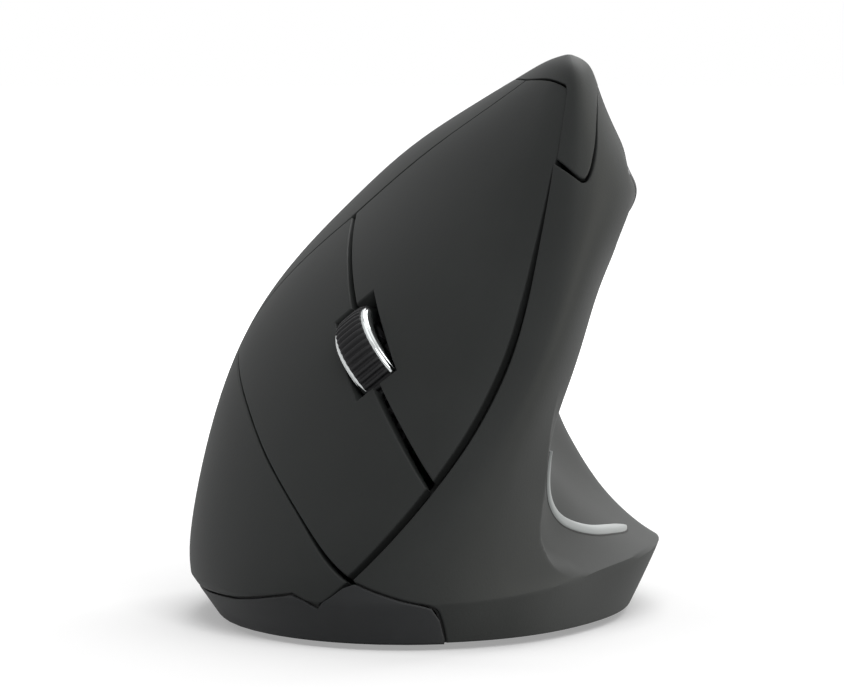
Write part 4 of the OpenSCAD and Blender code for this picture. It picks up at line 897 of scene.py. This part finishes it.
def turned(profile, around, wobble=None):
    """Closed ring about the wheel's axle: the profile (radius, place along the axle) carried round, with
    wobble added to the radius as a function of the profile's points and the angle."""
    a = 2*np.pi*np.arange(around)/around
    r = np.broadcast_to(profile[:, 0][None, :], (around, len(profile))).copy()
    if wobble is not None:
        r = r + wobble(a[:, None], profile[None])
    o = WHEEL_O + WHEEL_N*(WHEEL_OUT - sizes()["wheel_d"]/2)
    pts = (o + r[..., None]*(np.cos(a)[:, None, None]*WHEEL_N + np.sin(a)[:, None, None]*WHEEL_F)
           + profile[None, :, 1, None]*WHEEL_E)
    m, n = r.shape
    i, j = np.meshgrid(np.arange(m), np.arange(n), indexing="ij")
    i, j, i2, j2 = i*n, j, (i + 1) % m*n, (j + 1) % n
    faces = np.stack([i + j, i2 + j, i2 + j2, i + j2], -1)
    return pts.reshape(-1, 3), faces.reshape(-1, 4)


class MOUSE_OT_wheel(bpy.types.Operator):
    """Ribbed tyre and the two bright rims of the scroll wheel"""

    bl_idname = "mouse.wheel"
    bl_label = "Scroll wheel"

    def execute(self, context):
        z = sizes()
        r, w, ribs = z["wheel_d"]/2, z["wheel_w"]/2 - 0.85, int(z["ribs"])
        x = np.linspace(-1, 1, 15)
        crown = np.column_stack([r - 0.25*np.abs(x)**4, w*x])
        inner = np.column_stack([np.full(3, r - 2.05), w*np.array([1, 0, -1])])

        def rib(a, p):
            dip = 0.45*(1 - smooth(0.5 + 0.9*np.cos(ribs*a)))
            return -dip*(p[..., 0] > r - 1)*(1 - 0.75*np.abs(p[..., 1]/w)**8)

        pts, faces = turned(np.vstack([crown, inner]), ribs*10, rib)
        tyre = new_mesh("tyre", pts, faces[:, ::-1], sharp=50)
        rubber = finish("ribbed_rubber", colours().rubber, 0.66, grain=(3000, 0.02),
                        Specular_IOR_Level=0.25)
        dress(tyre, "wheel", "tyre_rubber", rubber, "wheel_tyre")
        t = np.linspace(0, 1, 29)*np.pi/2
        groove = 0.1*np.exp(-((t - 0.75)/0.12)**2)
        bead = np.column_stack([r - 0.5 - 1.1*(1 - np.cos(t)) - groove, w + 0.02 + 0.83*np.sin(t)])
        prof = np.vstack([[[r - 0.75, w + 0.02], [r - 0.5, w + 0.02]], bead[1:],
                          [[r - 2.6, w + 0.85], [r - 2.9, w + 0.7], [r - 2.9, w + 0.02]]])
        (low, low_faces), (high, high_faces) = (turned(prof*[1, e], 160) for e in (-1, 1))
        faces = np.vstack([low_faces, high_faces[:, ::-1] + len(low)])
        rims = new_mesh("wheel_rims_bright", np.vstack([low, high]), faces, sharp=50)
        chrome = finish("bright_rim", colours().chrome, 0.1, grain=(700, 0.004), mottle=0.02,
                        rough_span=0.03, Metallic=1.0)
        dress(rims, "wheel", "rim", chrome, "wheel_rims")
        return {"FINISHED"}


class MOUSE_OT_base(bpy.types.Operator):
    """Rim of the base, a lip behind the front gap, and near-black sheets of painted shade behind the
    crest's seam and as tongues in the fixed seams
    """

    bl_idname = "mouse.base"
    bl_label = "Base"

    def execute(self, context):
        base = finish("matte_base", colours().base, 0.62, grain=(2200, 0.04), Specular_IOR_Level=0.12)
        runs = rim_runs()
        s = np.unique(np.concatenate([runs[1][:, 0], np.linspace(0, 1, 260)]))
        t = graded(0, 1, 6, 0.8)
        obj = moulding("base_rim", coons(runs, s, t), None, 0.5, 0.2, lift=0.05)
        dress(obj, "base", "base_plastic", base)
        for name in ("base_case", "battery_door"):
            coat(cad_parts[name], base)
        line = refine(GAP)[:-6]
        uv = np.stack([beside(line, x) for x in (-2.5, -1.25, -0.9, 0.5, 2)], 1)
        lip = strip_mesh("gap_lip", uv, [-1.9, -1.9, -3.1, -3.1, -3.1], -3.7)
        dress(lip, "base", "shell", shell_finish())
        # Near-black strips under the crest's seams: painted shade seen through the seams.
        for name, line, sign in (("crest_lip", CREST_RIGHT[3:], 1), ("crest_rear_shade_sheet", CREST_REAR, -1)):
            uv = np.stack([beside(refine(line), sign*x) for x in (-0.9, 1.3)], 1)
            dress(strip_mesh(name, uv, -1.9, -2.3), "base", "shell", painted_seam_shade())
        tail = np.column_stack([np.full(30, 2.0), np.linspace(FOOT_V, CREST_REAR[-1, 1] - 0.25, 30)])
        half = half_seams()[0] + 0.05
        # Tongues that fill the fixed seams; their near-black colour is painted shade of the seams.
        for name, line in (("nose_tongue_shade", refine(NOSE_EDGE)), ("palm_tongue_shade", refine(PALM_EDGE)),
                           ("tail_tongue_shade", tail)):
            uv = np.stack([beside(line, x*half) for x in (-1, 1)], 1)
            dress(strip_mesh(name, uv, -0.45, -1.4), "base", "base_plastic", painted_seam_shade())
        return {"FINISHED"}


class MOUSE_OT_inside(bpy.types.Operator):
    """Finishes of the pieces inside and under the mouse"""

    bl_idname = "mouse.inside"
    bl_label = "Inside"

    def execute(self, context):
        looks = {
            "frame_plastic": (("inner_frame", "wheel_carrier", "wheel_hub"),
                              (0.035, 0.035, 0.037), 0.55,
                              {"lines": ("Z", 900, (0.045, 0.045, 0.047), 0.3)}),
            "solder_mask": (("main_board", "button_board", "side_board", "crest_board"),
                            (0.012, 0.07, 0.03), 0.35, {"lines": ("X", 260, (0.03, 0.16, 0.07), 0.3)}),
            "switch_body": (("left_switch", "right_switch", "wheel_switch", "crest_switch",
                             "forward_switch", "back_switch", "wheel_receiver", "motion_sensor",
                             "radio_chip"), (0.02, 0.02, 0.02), 0.45, {}),
            "stem_plastic": (("left_plunger", "right_plunger", "wheel_stem", "crest_stem",
                              "forward_stem", "back_stem", "power_slider"), (0.6, 0.57, 0.5), 0.4, {}),
            "clear_lens": (("sensor_lens", "wheel_emitter"), (0.75, 0.8, 0.82), 0.12,
                           {"Transmission_Weight": 0.8}),
            "steel": (("case_screws", "battery_springs", "power_switch"), (0.55, 0.56, 0.57), 0.3,
                      {"Metallic": 1.0, "lines": ("Z", 1600, (0.45, 0.46, 0.47), 0.4)}),
            "plated": (("battery_contacts",), (0.7, 0.6, 0.35), 0.28, {"Metallic": 1.0}),
            "cell_wrap": (("battery_cells",), (0.06, 0.1, 0.14), 0.3,
                          {"lines": ("Y", 14, (0.45, 0.35, 0.1), 0.25)}),
            # Slip pads: their near-black colour is painted shade, so that the pads below the base's edge
            # read as the shadow under the mouse; the lighter lines are scuffs.
            "slip_pad_painted_shade": (("glide_feet",), (0.02, 0.02, 0.021), 0.4,
                         {"lines": ("Y", 420, (0.05, 0.05, 0.05), 0.12)}),
        }
        for name, (nodes, colour, rough, more) in looks.items():
            mat = finish(name, colour, rough, **more)
            for node in nodes:
                coat(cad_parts[node], mat)
        return {"FINISHED"}


class MOUSE_OT_stage(bpy.types.Operator):
    """Pale floor, soft studio light, white surroundings and the camera"""

    bl_idname = "mouse.stage"
    bl_label = "Studio"

    def execute(self, context):
        scene = context.scene
        scene.view_settings.view_transform = "Standard"
        g = np.array([[-4, -4, 0], [4, -4, 0], [4, 4, 0], [-4, 4, 0]])/MM
        floor = new_mesh("floor", g, np.array([[0, 1, 2, 3]]))
        floor.data.materials.append(white_floor())
        white_world(scene)
        lamp("right", (0.8, -0.15, 0.4), 0.6, 8, (1, 0.97, 0.91), floor)
        lamp("back", (0.25, 0.75, 0.75), 0.7, 7)
        lamp("top", (0.0, -0.1, 0.95), 0.8, 1.8)
        lamp("front", (0.15, -0.85, 0.6), 0.6, 5)
        data = bpy.data.cameras.new("photo_camera")
        cam = bpy.data.objects.new("photo_camera", data)
        scene.collection.objects.link(cam)
        rise = math.radians(CAMERA_RISE)
        back = Vector((0, -math.cos(rise), math.sin(rise)))
        cam.location = CAMERA_AIM + back*CAMERA_FAR
        cam.rotation_euler = (-back).to_track_quat("-Z", "Y").to_euler()
        data.sensor_width = SENSOR
        data.lens = FOCAL_PX*SENSOR/PHOTO_PX
        data.clip_end = 20
        scene.camera = cam
        return {"FINISHED"}


def lamp(name, place, size, power, colour=(1, 1, 1), flagged=None):
    """Square soft box at a place in metres, turned to the mouse. A flag keeps its light off one
    object."""
    data = bpy.data.lights.new(name, "AREA")
    data.shape = "SQUARE"
    data.size = size
    data.energy = power
    data.color = colour
    obj = bpy.data.objects.new(name, data)
    bpy.context.scene.collection.objects.link(obj)
    obj.location = place
    if flagged:
        group = bpy.data.collections.new(name + "_flag")
        group.objects.link(flagged)
        group.collection_objects[0].light_linking.link_state = "EXCLUDE"
        obj.light_linking.receiver_collection = group
    obj.rotation_euler = (LAMP_AIM - Vector(place)).to_track_quat("-Z", "Y").to_euler()


def seen(tree):
    """1 for rays that see the surroundings directly, in a reflection or through glass."""
    path = add_node(tree, "LightPath")
    total = path.outputs["Is Camera Ray"]
    for ray in ("Is Glossy Ray", "Is Transmission Ray"):
        either = add_node(tree, "Math")
        either.operation = "MAXIMUM"
        tree.links.new(total, either.inputs[0])
        tree.links.new(path.outputs[ray], either.inputs[1])
        total = either.outputs[0]
    return total


def white_floor():
    """Pale floor that shows white to the camera, and keeps the shadow under the mouse."""
    mat = bpy.data.materials.new("pale_floor")
    mat.use_nodes = True
    tree = mat.node_tree
    link = tree.links.new
    shader = set_sockets(tree.nodes["Principled BSDF"], {
        "Base Color": (0.72, 0.72, 0.72, 1), "Roughness": 0.9, "Specular IOR Level": 0,
        "Emission Color": (1, 1, 1, 1)})
    far = add_node(tree, "VectorMath")
    far.operation = "LENGTH"
    link(add_node(tree, "TexCoord").outputs["Object"], far.inputs[0])
    fade = add_node(tree, "MapRange", From_Min=0.1, From_Max=0.6, To_Min=0.33, To_Max=1.0)
    link(far.outputs["Value"], fade.inputs["Value"])
    level = add_node(tree, "Math")
    level.operation = "MULTIPLY"
    link(seen(tree), level.inputs[0])
    link(fade.outputs["Result"], level.inputs[1])
    link(level.outputs[0], shader.inputs["Emission Strength"])
    return mat


def white_world(scene):
    """Surroundings: white to the camera, and a plain grey level for light."""
    world = bpy.data.worlds.new("studio")
    scene.world = world
    world.use_nodes = True
    tree = world.node_tree
    back = set_sockets(tree.nodes["Background"], {"Color": (1, 1, 1, 1)})
    level = add_node(tree, "MapRange", To_Min=0.27, To_Max=1.0)
    tree.links.new(seen(tree), level.inputs["Value"])
    tree.links.new(level.outputs["Result"], back.inputs["Strength"])


OPERATORS = (MOUSE_OT_covers, MOUSE_OT_finger_buttons, MOUSE_OT_crest_button, MOUSE_OT_thumb_keys,
             MOUSE_OT_trim, MOUSE_OT_wheel, MOUSE_OT_base, MOUSE_OT_inside, MOUSE_OT_stage)


class VIEW3D_PT_mouse(bpy.types.Panel):
    """Sizes, colours and makers of the mouse's pieces"""

    bl_label = "Mouse"
    bl_space_type = "VIEW_3D"
    bl_region_type = "UI"
    bl_category = "Mouse"

    def draw(self, context):
        for group in (context.scene.mouse_sizes, context.scene.mouse_colours):
            for key in type(group).__annotations__:
                self.layout.prop(group, key)
        for op in OPERATORS:
            self.layout.operator(op.bl_idname)


CLASSES = (MouseSizes, MouseColours, *OPERATORS, VIEW3D_PT_mouse)


def register():
    for cls in CLASSES:
        bpy.utils.register_class(cls)
    bpy.types.Scene.mouse_sizes = PointerProperty(type=MouseSizes)
    bpy.types.Scene.mouse_colours = PointerProperty(type=MouseColours)


def unregister():
    del bpy.types.Scene.mouse_sizes
    del bpy.types.Scene.mouse_colours
    for cls in reversed(CLASSES):
        bpy.utils.unregister_class(cls)


def main():
    """Registers the add-on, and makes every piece."""
    register()
    for op in OPERATORS:
        group, name = op.bl_idname.split(".")
        getattr(getattr(bpy.ops, group), name)()


if __name__ == "__main__":
    main()
